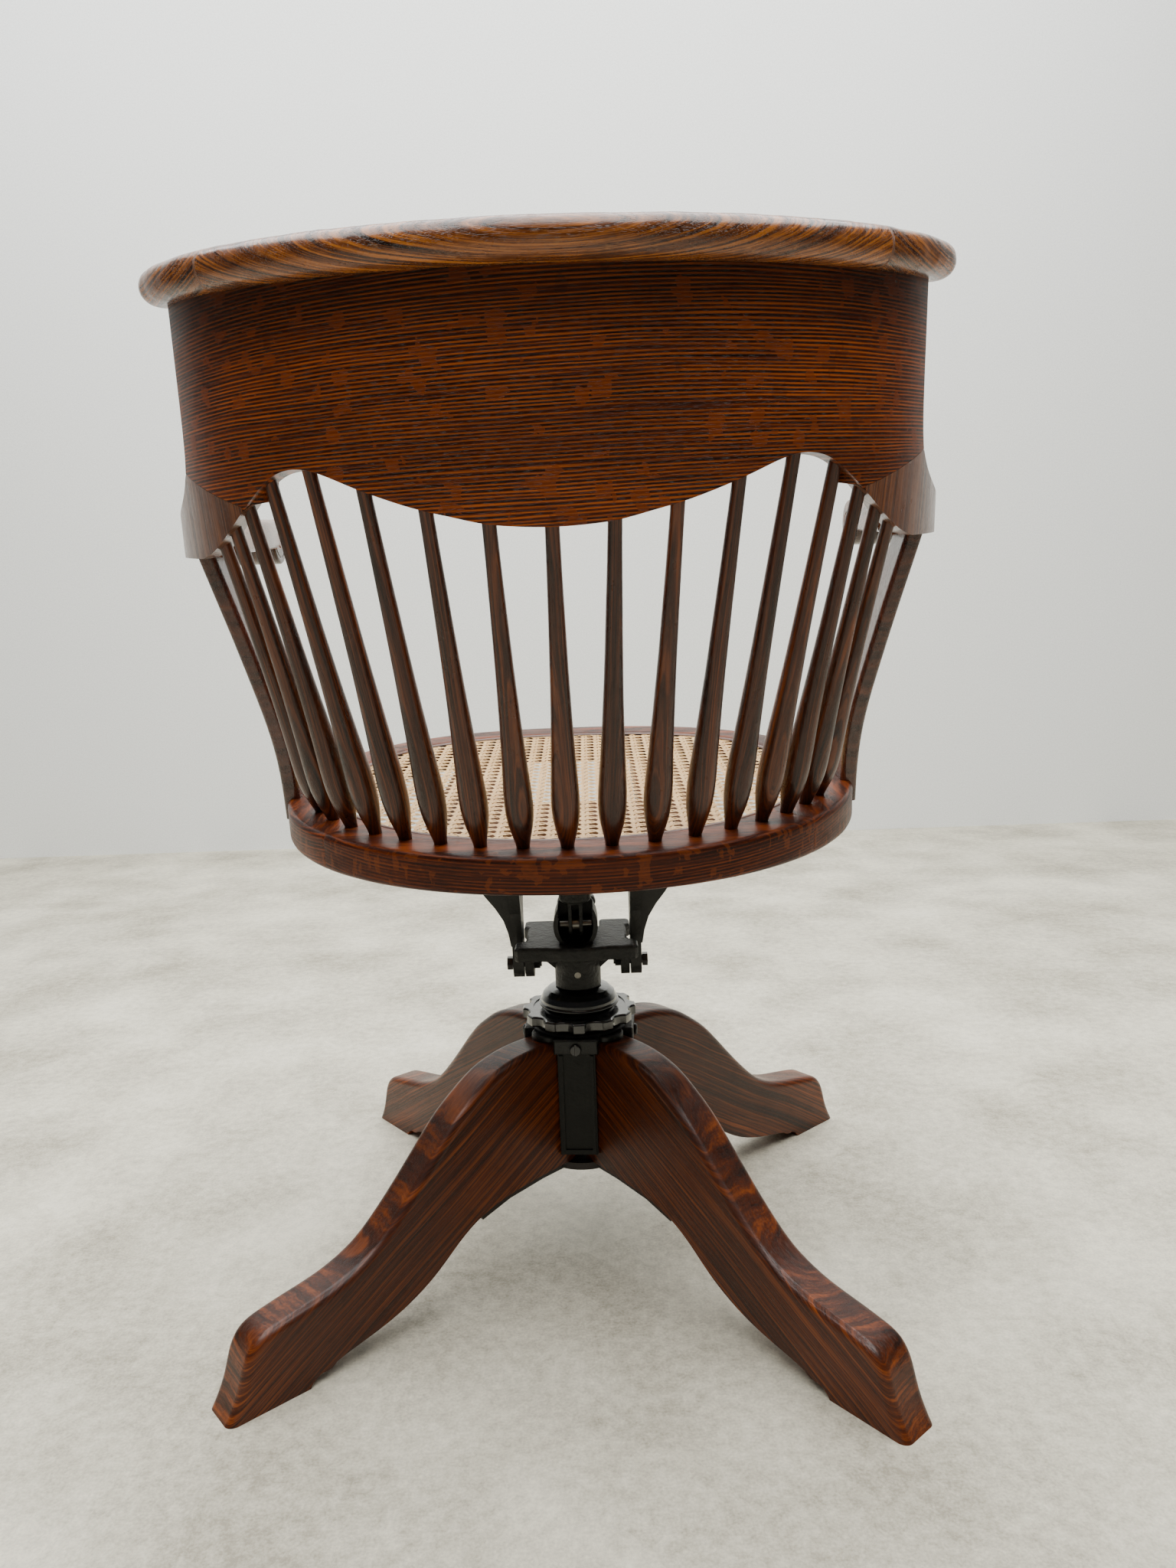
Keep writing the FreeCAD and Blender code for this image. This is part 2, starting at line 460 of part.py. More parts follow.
# scalloped lower edge, cut straight through from behind
SC = [(0, 664.6), (22, 665.5), (42, 668.0), (58, 671.8), (72, 675.2), (86, 679.2), (100, 684.0), (116, 690.0), (132, 696.8), (146, 701.8), (157, 703.4), (168, 702.0),
      (179, 697.0), (190, 688.6), (202, 678.4), (214, 668.0), (226, 658.6), (236, 653.2), (246, 650)]
sc = [(-x, 60, z) for x, z in SC[::-1]] + [(x, 60, z) for x, z in SC[1:]]
e1 = spline_edge(sc)
p0, p1 = sc[0], sc[-1]
cutter = Part.Wire([e1, Part.makeLine(V(*p1), V(p1[0], 60, 600)), Part.makeLine(V(p1[0], 60, 600), V(p0[0], 60, 600)), Part.makeLine(V(p0[0], 60, 600), V(*p0))])
scallop = Part.Face(cutter).extrude(V(0, 300, 0))
band = band.cut(scallop)

# front edge of the back sweeps down to the arms
SW = [(155, 850), (155, 800), (155, 760), (154.2, 728), (150.5, 709), (139, 695), (119, 685.5), (94, 680), (62, 677)]
swe = spline_edge([(-400, y, z) for y, z in SW])
sw = Part.Wire([swe, Part.makeLine(V(-400, 62, 677), V(-400, 44, 677)), Part.makeLine(V(-400, 44, 677), V(-400, 44, 640)), Part.makeLine(V(-400, 44, 640), V(-400, -60, 640)),
                Part.makeLine(V(-400, -60, 640), V(-400, -60, 850)), Part.makeLine(V(-400, -60, 850), V(-400, 155, 850))])
band = band.cut(Part.Face(sw).extrude(V(800, 0, 0)))

# seam between the back board and the arm blocks
SEAM_Y, SEAM_Z, SEAM_K = 156.0, 705.5, 0.38
seam = prism([(-400, 330, SEAM_Z - SEAM_K * (330 - SEAM_Y)), (-400, -60, SEAM_Z + SEAM_K * (60 + SEAM_Y)), (-400, -60, 600), (-400, 330, 600)], V(800, 0, 0))
mid = box(-200, 200, 60, 400, 600, 720)
block_zone = seam.cut(mid)
panel = main_solid(band.cut(block_zone))
blocks = band.common(block_zone)

def arm(s):
    out_ = [se(math.radians(t), BACK_A - e, BACK_B - e, BACK_N) for t, e in ((59, 1.4), (64, 1.4), (69, 1.3), (74, 1.1), (79, 0.6), (84, 0))] + [(302.2, 4), (307, -22), (312.5, -48), (318.5, -80), (323.5, -112)]
    inn = [(268, -112), (263.5, -84), (259.5, -48), (257, -12), (255, 28), (252, 62), (246.5, 92), (238.5, 118), (230, 136)]
    e = [spline_edge([(s * x, y, ARM_Z0) for x, y in out_]), Part.makeLine(V(s * out_[-1][0], out_[-1][1], ARM_Z0), V(s * inn[0][0], inn[0][1], ARM_Z0)),
         spline_edge([(s * x, y, ARM_Z0) for x, y in inn]), Part.makeLine(V(s * inn[-1][0], inn[-1][1], ARM_Z0), V(s * out_[0][0], out_[0][1], ARM_Z0))]
    board = Part.Face(Part.Wire(e)).extrude(V(0, 0, ARM_Z1 - ARM_Z0))
    board = try_fillet(board, 6.0, lambda q: q.BoundBox.ZLength < 0.1 and q.BoundBox.YLength > 120)
    kn = cyl((min(s * 267.6, s * 323.6), -112, 656.6), X, 20.6, 56.0)
    kn = try_fillet(kn, 2.5, lambda q: q.BoundBox.XLength < 0.1 and q.BoundBox.YLength > 30)
    blk = [q for q in blocks.Solids if q.CenterOfMass.x * s > 0]
    a = fuse(board, kn, *blk)
    return main_solid(a)
armR, armL = arm(1), arm(-1)
panel = main_solid(panel.cut(armR).cut(armL))

# crest rail: full-round nosing all round the top
def crest_solid():
    te = math.radians(CREST_END)
    o = even(lambda t: se(t, CREST_A, CREST_B, 2.0), -te, te, 44)
    inn = []
    for m in range(len(o)):
        q0, q1 = o[max(m - 1, 0)], o[min(m + 1, len(o) - 1)]
        tx, ty = q1[0] - q0[0], q1[1] - q0[1]
        L = math.hypot(tx, ty)
        inn.append((o[m][0] + ty / L * CREST_W, o[m][1] - tx / L * CREST_W))
    zb = CREST_Z0
    def cap_arc(p, q, sgn):
        m = ((p[0] + q[0]) / 2, (p[1] + q[1]) / 2)
        r = math.dist(p, q) / 2
        dx, dy = (q[0] - p[0]) / (2 * r), (q[1] - p[1]) / (2 * r)
        nx, ny = (dy, -dx)
        if ny > 0: nx, ny = -nx, -ny       # the ends are half-round noses
        return Part.Arc(V(p[0], p[1], zb), V(m[0] + nx * r, m[1] + ny * r, zb), V(q[0], q[1], zb)).toShape()
    w = Part.Wire([spline_edge([(p[0], p[1], zb) for p in o]), cap_arc(o[-1], inn[-1], 1), spline_edge([(p[0], p[1], zb) for p in inn[::-1]]), cap_arc(inn[0], o[0], -1)])
    s = Part.Face(w).extrude(V(0, 0, CREST_Z1 - CREST_Z0))
    return try_fillet(s, 11.6, lambda e: e.BoundBox.ZLength < 0.1)
crest = rot(crest_solid(), -CREST_TIP, X, V(*CREST_PIV))
above = rot(box(-400, 400, 0, 400, CREST_Z0 + 8, 900), -CREST_TIP, X, V(*CREST_PIV))
panel = main_solid(panel.cut(above).cut(crest))

# ------------------------------------------------------------ spindles and arm posts
def zsc(x):
    x = abs(x)
    for (x0, z0), (x1, z1) in zip(SC, SC[1:]):
        if x0 <= x <= x1:
            return z0 + (z1 - z0) * (x - x0) / (x1 - x0)
    return 650.0
SP_PROF = [(-0.085, 4.8), (0.0, 4.8), (0.03, 5.9), (0.07, 8.0), (0.11, 9.4), (0.15, 9.9), (0.19, 9.8), (0.26, 9.0), (0.36, 7.9), (0.5, 6.7), (0.65, 5.8), (0.8, 5.1), (0.92, 4.6), (1.0, 4.4), (1.07, 4.4)]
SP_TOP = (0.0, 37.2, 75.0, 113.4, 149.3, 179.4, 199.2, 214.0, 226.9)
spindles = []
for i in range(N_SPINDLES):
    th = math.radians((i - (N_SPINDLES - 1) / 2.0) * SPINDLE_STEP)
    bx, by = RING_A * math.sin(th), RING_B * math.cos(th)
    # top on the board's middle line
    tx = math.copysign(SP_TOP[abs(i - (N_SPINDLES - 1) // 2)], bx)
    ty = (BACK_B - 11) * math.sqrt(1 - (tx / (BACK_A - 11)) ** 2)
    tz = zsc(tx)
    b, t = V(bx, by, SEAT_TOP), V(tx, ty, tz)
    d = t - b
    L = d.Length
    pts = [(0, 0, SP_PROF[0][0] * L)] + [(r, 0, f * L) for f, r in SP_PROF] + [(0, 0, SP_PROF[-1][0] * L)]
    body = [V(r, 0, f * L) for f, r in SP_PROF[1:14]]
    c = Part.BSplineCurve(); c.interpolate(body)
    w = Part.Wire([Part.makeLine(V(0, 0, -0.085 * L), V(4.8, 0, -0.085 * L)), Part.makeLine(V(4.8, 0, -0.085 * L), body[0]), c.toShape(),
                   Part.makeLine(body[-1], V(4.4, 0, 1.06 * L)), Part.makeLine(V(4.4, 0, 1.06 * L), V(0, 0, 1.06 * L)), Part.makeLine(V(0, 0, 1.06 * L), V(0, 0, -0.085 * L))])
    s = Part.Face(w).revolve(O, Z, 360)
    s = Part.makeSolid(s.Shells[0]) if s.ShapeType != "Solid" else s
    s.Placement = Placement(b, Rotation(Z, d))
    spindles.append(s)

def post(s):
    cl = [(236, 430), (236, 446.4), (236.6, 470), (238.6, 492), (243.5, 520), (251, 552), (260, 588), (269, 622), (277, 652), (280.5, 665)]
    t = [7.0] * len(cl)
    o = [(s * (x + 7.0), -18, z) for x, z in cl]
    i = [(s * (x - 7.0), -18, z) for x, z in cl]
    w = Part.Wire([spline_edge(o), Part.makeLine(V(*o[-1]), V(*i[-1])), spline_edge(i[::-1]), Part.makeLine(V(*i[0]), V(*o[0]))])
    p = Part.Face(w).extrude(V(0, 36, 0))
    p = try_fillet(p, 4.0, lambda e: e.BoundBox.YLength < 0.1 and e.BoundBox.ZLength > 100)
    p = rot(p, -6.2, X, V(0, 0, 446.4))
    p.translate(V(0, 31, 0))
    return p
postR, postL = post(1), post(-1)

allsp = Part.makeCompound(spindles)
seat = seat.cut(allsp).cut(postR).cut(postL)
panel = main_solid(panel.cut(allsp))
armR = main_solid(armR.cut(allsp).cut(postR)); armL = main_solid(armL.cut(allsp).cut(postL))

# dowels that pin the crest to the back board, set square to the crest's underside
dw = []
for a in (-52, -32, -11, 11, 32, 52):
    x, y = se(math.radians(a), BACK_A - 11, BACK_B - 11, BACK_N)
    dw.append(rot(cyl((x, y, CREST_Z0 - 20), Z, 4.0, 34), -CREST_TIP, X, V(*CREST_PIV)))
dow = Part.makeCompound(dw)
panel = main_solid(panel.cut(dow)); crest = main_solid(crest.cut(dow))

# ------------------------------------------------------------ place the seat parts
for n, s in (("seat_bracket_right", BR), ("seat_bracket_left", BL), ("bracket_screws", bscr), ("cross_rail_right", RR), ("cross_rail_left", RL),
             ("centre_rail", CR), ("rail_screws", rscr), ("seat_hoop", seat), ("cane_seat", cane), ("cane_spline", spl), ("back_board", panel),
             ("arm_right", armR), ("arm_left", armL), ("crest_rail", crest), ("crest_dowels", dow), ("arm_post_right", postR), ("arm_post_left", postL)):
    if n == "centre_rail":
        s2 = lean(s).cut(fscr)
        put(n, s2)
    else:
        put(n, lean(s))
for i, s in enumerate(spindles):
    put("spindle_%02d" % (i + 1), lean(s))
put("tilt_finger", finger)
put("finger_screws", fscr)

# ------------------------------------------------------------ write
bb = None
for n in sorted(OUT):
    s = OUT[n]
    ok = s.isValid()
    b = s.BoundBox
    if bb is None: bb = FreeCAD.BoundBox(b)
    else: bb.add(b)
    print("%-22s valid %s solids %d vol %.0f" % (n, ok, len(s.Solids), s.Volume))
    s.exportStep("parts/%s.step" % n)
print("nodes", len(OUT))
print("box x %.1f %.1f y %.1f %.1f z %.1f %.1f" % (bb.XMin, bb.XMax, bb.YMin, bb.YMax, bb.ZMin, bb.ZMax), "centre y", (bb.YMin + bb.YMax) / 2)
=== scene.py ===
import bpy, bmesh, math, random
import numpy as np
from mathutils import Vector, Matrix, noise


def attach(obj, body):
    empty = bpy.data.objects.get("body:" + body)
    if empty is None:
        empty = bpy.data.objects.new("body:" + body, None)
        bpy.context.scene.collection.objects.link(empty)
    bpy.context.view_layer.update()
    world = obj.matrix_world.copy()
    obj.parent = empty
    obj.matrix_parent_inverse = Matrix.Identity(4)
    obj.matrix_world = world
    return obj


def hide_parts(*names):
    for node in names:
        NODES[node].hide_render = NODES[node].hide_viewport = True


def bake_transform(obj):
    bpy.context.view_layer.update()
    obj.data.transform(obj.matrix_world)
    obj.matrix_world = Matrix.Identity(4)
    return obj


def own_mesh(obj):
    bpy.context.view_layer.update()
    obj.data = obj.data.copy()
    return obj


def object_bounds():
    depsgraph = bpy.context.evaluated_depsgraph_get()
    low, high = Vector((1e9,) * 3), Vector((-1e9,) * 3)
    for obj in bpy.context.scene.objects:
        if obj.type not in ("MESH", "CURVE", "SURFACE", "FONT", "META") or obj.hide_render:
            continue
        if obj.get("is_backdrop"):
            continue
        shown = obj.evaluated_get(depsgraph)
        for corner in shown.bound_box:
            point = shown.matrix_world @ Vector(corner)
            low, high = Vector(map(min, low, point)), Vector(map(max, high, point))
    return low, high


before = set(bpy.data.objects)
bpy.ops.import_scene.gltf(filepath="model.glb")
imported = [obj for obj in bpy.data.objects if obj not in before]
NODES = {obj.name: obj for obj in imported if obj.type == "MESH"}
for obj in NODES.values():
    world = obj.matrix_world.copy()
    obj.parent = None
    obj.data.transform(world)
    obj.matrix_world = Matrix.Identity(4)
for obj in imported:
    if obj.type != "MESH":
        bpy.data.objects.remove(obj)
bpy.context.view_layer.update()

OY = -36.51                      # swivel axis in Y, millimetres
RECLINE = math.radians(5.8)
BASE_TURN = math.radians(-4.35)
rad = math.radians

# ------------------------------------------------------------------ camera
CAM_AT = (-0.01750, 0.92643, 0.57344)
pitch, yaw, roll = rad(8.155), rad(-0.137), rad(-1.937)
fwd = Vector((-math.sin(yaw) * math.cos(pitch), -math.cos(yaw) * math.cos(pitch), -math.sin(pitch)))
right = Vector((-math.cos(yaw), math.sin(yaw), 0)).normalized()
up = right.cross(fwd).normalized()
r_ = right * math.cos(roll) + up * math.sin(roll)
u_ = -right * math.sin(roll) + up * math.cos(roll)
cam = bpy.data.cameras.new("camera")
cam.lens, cam.sensor_width, cam.sensor_fit = 24.609, 36.0, "AUTO"
cam.clip_start, cam.clip_end = 0.02, 60
cam_ob = bpy.data.objects.new("camera", cam)
cam_ob.matrix_world = Matrix(((r_.x, u_.x, -fwd.x, CAM_AT[0]), (r_.y, u_.y, -fwd.y, CAM_AT[1]), (r_.z, u_.z, -fwd.z, CAM_AT[2]), (0, 0, 0, 1)))
bpy.context.scene.collection.objects.link(cam_ob)
bpy.context.scene.camera = cam_ob

# ------------------------------------------------------------------ node helpers
def lin(r, g, b):
    f = lambda c: (c / 255.0) / 12.92 if c <= 10.31475 else ((c / 255.0 + 0.055) / 1.055) ** 2.4
    return (f(r), f(g), f(b), 1.0)

class G:
    "a material's node tree with short calls"
    def __init__(s, name):
        s.mat = bpy.data.materials.new(name)
        s.mat.use_nodes = True
        s.t = s.mat.node_tree
        s.t.nodes.clear()
        s.out = s.t.nodes.new("ShaderNodeOutputMaterial")
        s.b = s.t.nodes.new("ShaderNodeBsdfPrincipled")
        s.t.links.new(s.b.outputs[0], s.out.inputs[0])
    def put(s, sock, val):
        if val is None:
            return
        if isinstance(val, bpy.types.NodeSocket):
            s.t.links.new(val, sock)
        else:
            if hasattr(sock.default_value, "__len__"):
                n = len(sock.default_value)
                if isinstance(val, (int, float)):
                    val = (val,) * n
                sock.default_value = tuple(val)[:n] if len(val) >= n else tuple(val) + (1.0,) * (n - len(val))
            else:
                sock.default_value = val
    def m(s, op, a, b=None, c=None, clamp=False):
        n = s.t.nodes.new("ShaderNodeMath"); n.operation = op; n.use_clamp = clamp
        s.put(n.inputs[0], a); s.put(n.inputs[1], b); s.put(n.inputs[2], c)
        return n.outputs[0]
    def v(s, op, a, b=None):
        n = s.t.nodes.new("ShaderNodeVectorMath"); n.operation = op
        s.put(n.inputs[0], a); s.put(n.inputs[1], b)
        return n.outputs[1] if op in ("DOT_PRODUCT", "LENGTH", "DISTANCE") else n.outputs[0]
    def xyz(s, x, y, z):
        n = s.t.nodes.new("ShaderNodeCombineXYZ")
        s.put(n.inputs[0], x); s.put(n.inputs[1], y); s.put(n.inputs[2], z)
        return n.outputs[0]
    def sep(s, v):
        n = s.t.nodes.new("ShaderNodeSeparateXYZ"); s.put(n.inputs[0], v)
        return n.outputs
    def noise(s, vec, scale=1.0, detail=2.0, rough=0.5, dist=0.0):
        n = s.t.nodes.new("ShaderNodeTexNoise")
        s.put(n.inputs["Vector"], vec); s.put(n.inputs["Scale"], scale); s.put(n.inputs["Detail"], detail)
        s.put(n.inputs["Roughness"], rough); s.put(n.inputs["Distortion"], dist)
        return n.outputs[0]
    def vor(s, vec, scale=1.0, metric="EUCLIDEAN", feature="F1", rnd=1.0):
        n = s.t.nodes.new("ShaderNodeTexVoronoi"); n.distance = metric; n.feature = feature
        s.put(n.inputs["Vector"], vec); s.put(n.inputs["Scale"], scale); s.put(n.inputs["Randomness"], rnd)
        return n.outputs
    def ramp(s, fac, stops, interp="LINEAR"):
        n = s.t.nodes.new("ShaderNodeValToRGB"); n.color_ramp.interpolation = interp
        e = n.color_ramp.elements
        e[0].position, e[1].position = stops[0][0], stops[1][0]
        c = lambda q: q if hasattr(q, "__len__") else (q, q, q, 1.0)
        e[0].color, e[1].color = c(stops[0][1]), c(stops[1][1])
        for p, q in stops[2:]:
            x = e.new(p); x.color = c(q)
        s.put(n.inputs[0], fac)
        return n.outputs[0]
    def mix(s, fac, a, b, mode="MIX"):
        n = s.t.nodes.new("ShaderNodeMix"); n.data_type = "RGBA"; n.blend_type = mode
        s.put(n.inputs[0], fac); s.put(n.inputs[6], a); s.put(n.inputs[7], b)
        return n.outputs[2]
    def attr(s, name):
        n = s.t.nodes.new("ShaderNodeAttribute"); n.attribute_type = "GEOMETRY"; n.attribute_name = name
        return n.outputs["Vector"]
    def obj(s):
        return s.t.nodes.new("ShaderNodeTexCoord").outputs["Object"]
    def normal(s):
        return s.t.nodes.new("ShaderNodeNewGeometry").outputs["Normal"]
    def bump(s, h, dist, strength=1.0, normal=None):
        n = s.t.nodes.new("ShaderNodeBump")
        s.put(n.inputs["Strength"], strength); s.put(n.inputs["Distance"], dist); s.put(n.inputs["Height"], h)
        if normal is not None:
            s.put(n.inputs["Normal"], normal)
        return n.outputs[0]
    def to(s, v, org, L, R, T):
        "coordinates of v along three directions from an origin"
        w = s.v("SUBTRACT", v, org)
        return s.xyz(s.v("DOT_PRODUCT", w, L), s.v("DOT_PRODUCT", w, R), s.v("DOT_PRODUCT", w, T))
    def set(s, **kw):
        for k, val in kw.items():
            s.put(s.b.inputs[k.replace("_", " ")], val)

# ------------------------------------------------------------------ oak
def oak(name, vec=None, light=(150, 88, 38), mid=(105, 55, 22), dark=(38, 18, 9), red=(110, 38, 16), spacing=3.0,
        pith=None, fleck=0.0, fleck_col=(138, 66, 22), wave=1.0, contrast=1.0, rough=0.30, coat=0.25, tone=0.5, redness=0.35,
        smudge=0.35, pore=0.6, seed=0.0, line_len=3.0, wear_and_painted_shade=None, regular=0.0, dark_fleck=0.25, spec=0.45, fleck_mix=0.5):
    """Stained oak. vec gives metres along the grain, along the ring direction and along the rays."""
    g = G(name)
    v = vec(g) if vec else g.attr("wood")
    v = g.v("ADD", v, (seed * 1.37, seed * 0.71, seed * 0.53))
    L, R, T = g.sep(v)
    w1 = g.noise(g.v("MULTIPLY", v, (3.0, 9.0, 9.0)), 1, 2, 0.5)
    w2 = g.noise(g.v("MULTIPLY", v, (22.0, 90.0, 90.0)), 1, 2, 0.5)
    R = g.m("ADD", R, g.m("MULTIPLY", g.m("SUBTRACT", w1, 0.5), 0.016 * wave))
    R = g.m("ADD", R, g.m("MULTIPLY", g.m("SUBTRACT", w2, 0.5), 0.0018 * wave))
    if pith:
        pr, pt = pith[0] + seed * 0.71, pith[1] + seed * 0.53
        a, b = g.m("SUBTRACT", R, pr), g.m("SUBTRACT", T, pt)
        R = g.m("SQRT", g.m("ADD", g.m("MULTIPLY", a, a), g.m("MULTIPLY", b, b)))
    F = 1600.0 / spacing
    rings = g.noise(g.xyz(g.m("MULTIPLY", L, line_len), g.m("MULTIPLY", R, F), g.m("MULTIPLY", T, 18.0)), 1, 3, 0.62)
    fine = g.noise(g.xyz(g.m("MULTIPLY", L, 26.0), g.m("MULTIPLY", R, F * 2.7), g.m("MULTIPLY", T, 420.0)), 1, 2, 0.6)
    l = g.m("ADD", g.m("MULTIPLY", rings, 0.76), g.m("MULTIPLY", fine, 0.24))
    if regular > 0:
        wn = g.noise(g.xyz(g.m("MULTIPLY", L, 3.0), g.m("MULTIPLY", R, 70.0), g.m("MULTIPLY", T, 12.0)), 1, 2, 0.5)
        ph = g.m("ADD", g.m("MULTIPLY", R, 1000.0 / spacing), g.m("MULTIPLY", wn, 1.9))
        wv = g.m("SINE", g.m("MULTIPLY", ph, 6.2832))
        am = g.noise(g.xyz(g.m("MULTIPLY", L, 9.0), g.m("MULTIPLY", R, 300.0), g.m("MULTIPLY", T, 60.0)), 1, 2, 0.6)
        wv = g.m("MULTIPLY", wv, g.m("ADD", 0.02, g.m("MULTIPLY", am, 0.26)))
        l = g.m("ADD", g.m("MULTIPLY", l, 1.0 - regular), g.m("MULTIPLY", g.m("ADD", g.m("ADD", wv, 0.38), g.m("MULTIPLY", fine, 0.24)), regular))
    c = 0.12 / contrast
    base = g.ramp(l, [(0.47 - c, lin(*dark)), (0.50, lin(*mid)), (0.50 + c * 1.25, lin(*light))])
    # slow changes of tone and a redder stain in places
    t1 = g.noise(g.v("MULTIPLY", v, (5.0, 13.0, 13.0)), 1, 3, 0.55)
    t2 = g.noise(g.v("MULTIPLY", v, (11.0, 24.0, 24.0)), 1, 2, 0.5)
    base = g.mix(g.m("MULTIPLY", g.ramp(t2, [(0.45, 0.0), (0.72, 1.0)]), redness), base, g.mix(l, lin(dark[0], dark[1] * 0.7, dark[2] * 0.7), lin(*red)), "MIX")
    base = g.mix(tone, base, g.mix(1.0, base, g.ramp(t1, [(0.30, (0.34, 0.30, 0.28, 1)), (0.62, (1.18, 1.12, 1.05, 1))]), "MULTIPLY"))
    h = l
    if fleck > 0:
        wob = g.noise(g.v("MULTIPLY", v, (260.0, 260.0, 260.0)), 1, 2, 0.5)
        vv = g.v("ADD", v, g.xyz(g.m("MULTIPLY", g.m("SUBTRACT", wob, 0.5), 0.006), g.m("MULTIPLY", g.m("SUBTRACT", wob, 0.5), 0.004), 0.0))
        area = g.noise(g.v("MULTIPLY", v, (9.0, 16.0, 9.0)), 1, 1, 0.5)
        c1 = g.sep(g.vor(g.v("MULTIPLY", vv, (104.0, 112.0, 500.0)), 1, "CHEBYCHEV")[1])
        c2 = g.sep(g.vor(g.v("MULTIPLY", vv, (84.0, 150.0, 500.0)), 1, "CHEBYCHEV")[1])
        f1 = g.m("GREATER_THAN", g.m("ADD", c1[0], g.m("MULTIPLY", area, 0.35)), 1.27 - 0.16 * fleck)
        f2 = g.m("GREATER_THAN", g.m("ADD", c2[1], g.m("MULTIPLY", area, 0.30)), 1.27 - 0.14 * fleck)
        f = g.m("MAXIMUM", f1, f2)
        fd = g.m("GREATER_THAN", g.m("ADD", c1[2], g.m("MULTIPLY", area, 0.3)), 1.13)
        fc = g.mix(g.m("MULTIPLY", fine, 0.7), lin(fleck_col[0] * 0.62, fleck_col[1] * 0.62, fleck_col[2] * 0.62), lin(*fleck_col))
        base = g.mix(g.m("MULTIPLY", fd, dark_fleck), base, lin(*dark))
        base = g.mix(g.m("MULTIPLY", f, fleck_mix), base, fc)
        h = g.mix(f, l, (0.62, 0.62, 0.62, 1))
    # open pores, darker, along the dark lines
    p = g.noise(g.v("MULTIPLY", v, (170.0, 2300.0, 2300.0)), 1, 1, 0.5)
    pm = g.m("MULTIPLY", g.ramp(p, [(0.30, 1.0), (0.43, 0.0)]), g.ramp(l, [(0.42, 1.0), (0.56, 0.25)]))
    base = g.mix(g.m("MULTIPLY", pm, pore), base, lin(dark[0] * 0.5, dark[1] * 0.5, dark[2] * 0.5))
    # handling dirt
    s1 = g.noise(g.v("MULTIPLY", v, (38.0, 55.0, 55.0)), 1, 3, 0.65)
    base = g.mix(g.m("MULTIPLY", g.ramp(s1, [(0.60, 0.0), (0.74, 1.0)]), smudge), base, lin(dark[0] * 0.8, dark[1] * 0.8, dark[2] * 0.8))
    # hook for real wear on some parts and painted shade on others (the band under the crest, the lower part of the
    # scroll)
    if wear_and_painted_shade:
        base = wear_and_painted_shade(g, base, v, l)
    g.put(g.b.inputs["Base Color"], base)
    rr = g.m("ADD", g.m("MULTIPLY", s1, 0.18), rough - 0.09)
    rr = g.m("ADD", rr, g.m("MULTIPLY", pm, 0.15))
    g.put(g.b.inputs["Roughness"], rr)
    g.set(Specular_IOR_Level=spec, Coat_Weight=coat, Coat_Roughness=0.14, Coat_IOR=1.5)
    hh = g.m("SUBTRACT", g.m("MULTIPLY", h, 1.0), g.m("MULTIPLY", pm, 0.8))
    lump = g.noise(g.v("MULTIPLY", v, (30.0, 60.0, 60.0)), 1, 2, 0.5)
    nb = g.bump(lump, 0.0008, 0.35)
    g.put(g.b.inputs["Normal"], g.bump(hh, 0.00022, 0.9, nb))
    g.put(g.b.inputs["Coat Normal"], g.bump(hh, 0.00010, 0.8, nb))
    return g.mat

def iron(name, base=(20, 22, 22), dust=(74, 78, 74), rough=0.34, cast=0.5, fine=0.4, dusty=0.3, coat=0.3, spec=0.5):
    g = G(name)
    v = g.obj()
    n1 = g.noise(g.v("MULTIPLY", v, (420.0, 420.0, 420.0)), 1, 3, 0.6)
    n2 = g.noise(g.v("MULTIPLY", v, (150.0, 150.0, 150.0)), 1, 3, 0.55)
    n3 = g.noise(g.v("MULTIPLY", v, (1700.0, 1700.0, 1700.0)), 1, 1, 0.5)
    n4 = g.noise(g.v("MULTIPLY", v, (38.0, 38.0, 38.0)), 1, 3, 0.6)
    z = g.sep(g.normal())[2]
    up_ = g.m("MULTIPLY", g.m("MAXIMUM", z, 0.0), dusty)
    d = g.m("MULTIPLY", g.ramp(n2, [(0.42, 0.0), (0.68, 1.0)]), g.m("ADD", up_, 0.12 * dusty))
    col = g.mix(g.ramp(n4, [(0.35, 0.0), (0.7, 1.0)]), lin(*base), lin(base[0] * 1.7, base[1] * 1.7, base[2] * 1.62))
    col = g.mix(d, col, lin(*dust))
    col = g.mix(g.m("MULTIPLY", g.ramp(n1, [(0.62, 0.0), (0.75, 1.0)]), 0.35 * dusty), col, lin(92, 72, 54))
    g.put(g.b.inputs["Base Color"], col)
    g.put(g.b.inputs["Roughness"], g.m("ADD", g.m("MULTIPLY", n2, 0.22), rough - 0.11))
    g.set(Specular_IOR_Level=spec, Coat_Weight=coat, Coat_Roughness=0.12)
    b1 = g.bump(n2, 0.0016, cast)
    b2 = g.bump(n1, 0.0009, cast, b1)
    g.put(g.b.inputs["Normal"], g.bump(n3, 0.00012, fine, b2))
    return g.mat

def steel(name, base=(120, 118, 112), rough=0.34, rust=0.35):
    g = G(name)
    v = g.obj()
    n1 = g.noise(g.v("MULTIPLY", v, (160.0, 160.0, 160.0)), 1, 3, 0.6)
    n2 = g.noise(g.v("MULTIPLY", v, (900.0, 900.0, 900.0)), 1, 2, 0.5)
    col = g.mix(g.m("MULTIPLY", g.ramp(n1, [(0.46, 0.0), (0.66, 1.0)]), rust), lin(*base), lin(70, 46, 30))
    g.put(g.b.inputs["Base Color"], col)
    g.put(g.b.inputs["Roughness"], g.m("ADD", g.m("MULTIPLY", n1, 0.3), rough - 0.15))
    g.put(g.b.inputs["Metallic"], g.m("SUBTRACT", 1.0, g.m("MULTIPLY", g.ramp(n1, [(0.5, 0.0), (0.7, 1.0)]), rust)))
    g.put(g.b.inputs["Normal"], g.bump(n2, 0.0002, 0.5))
    return g.mat

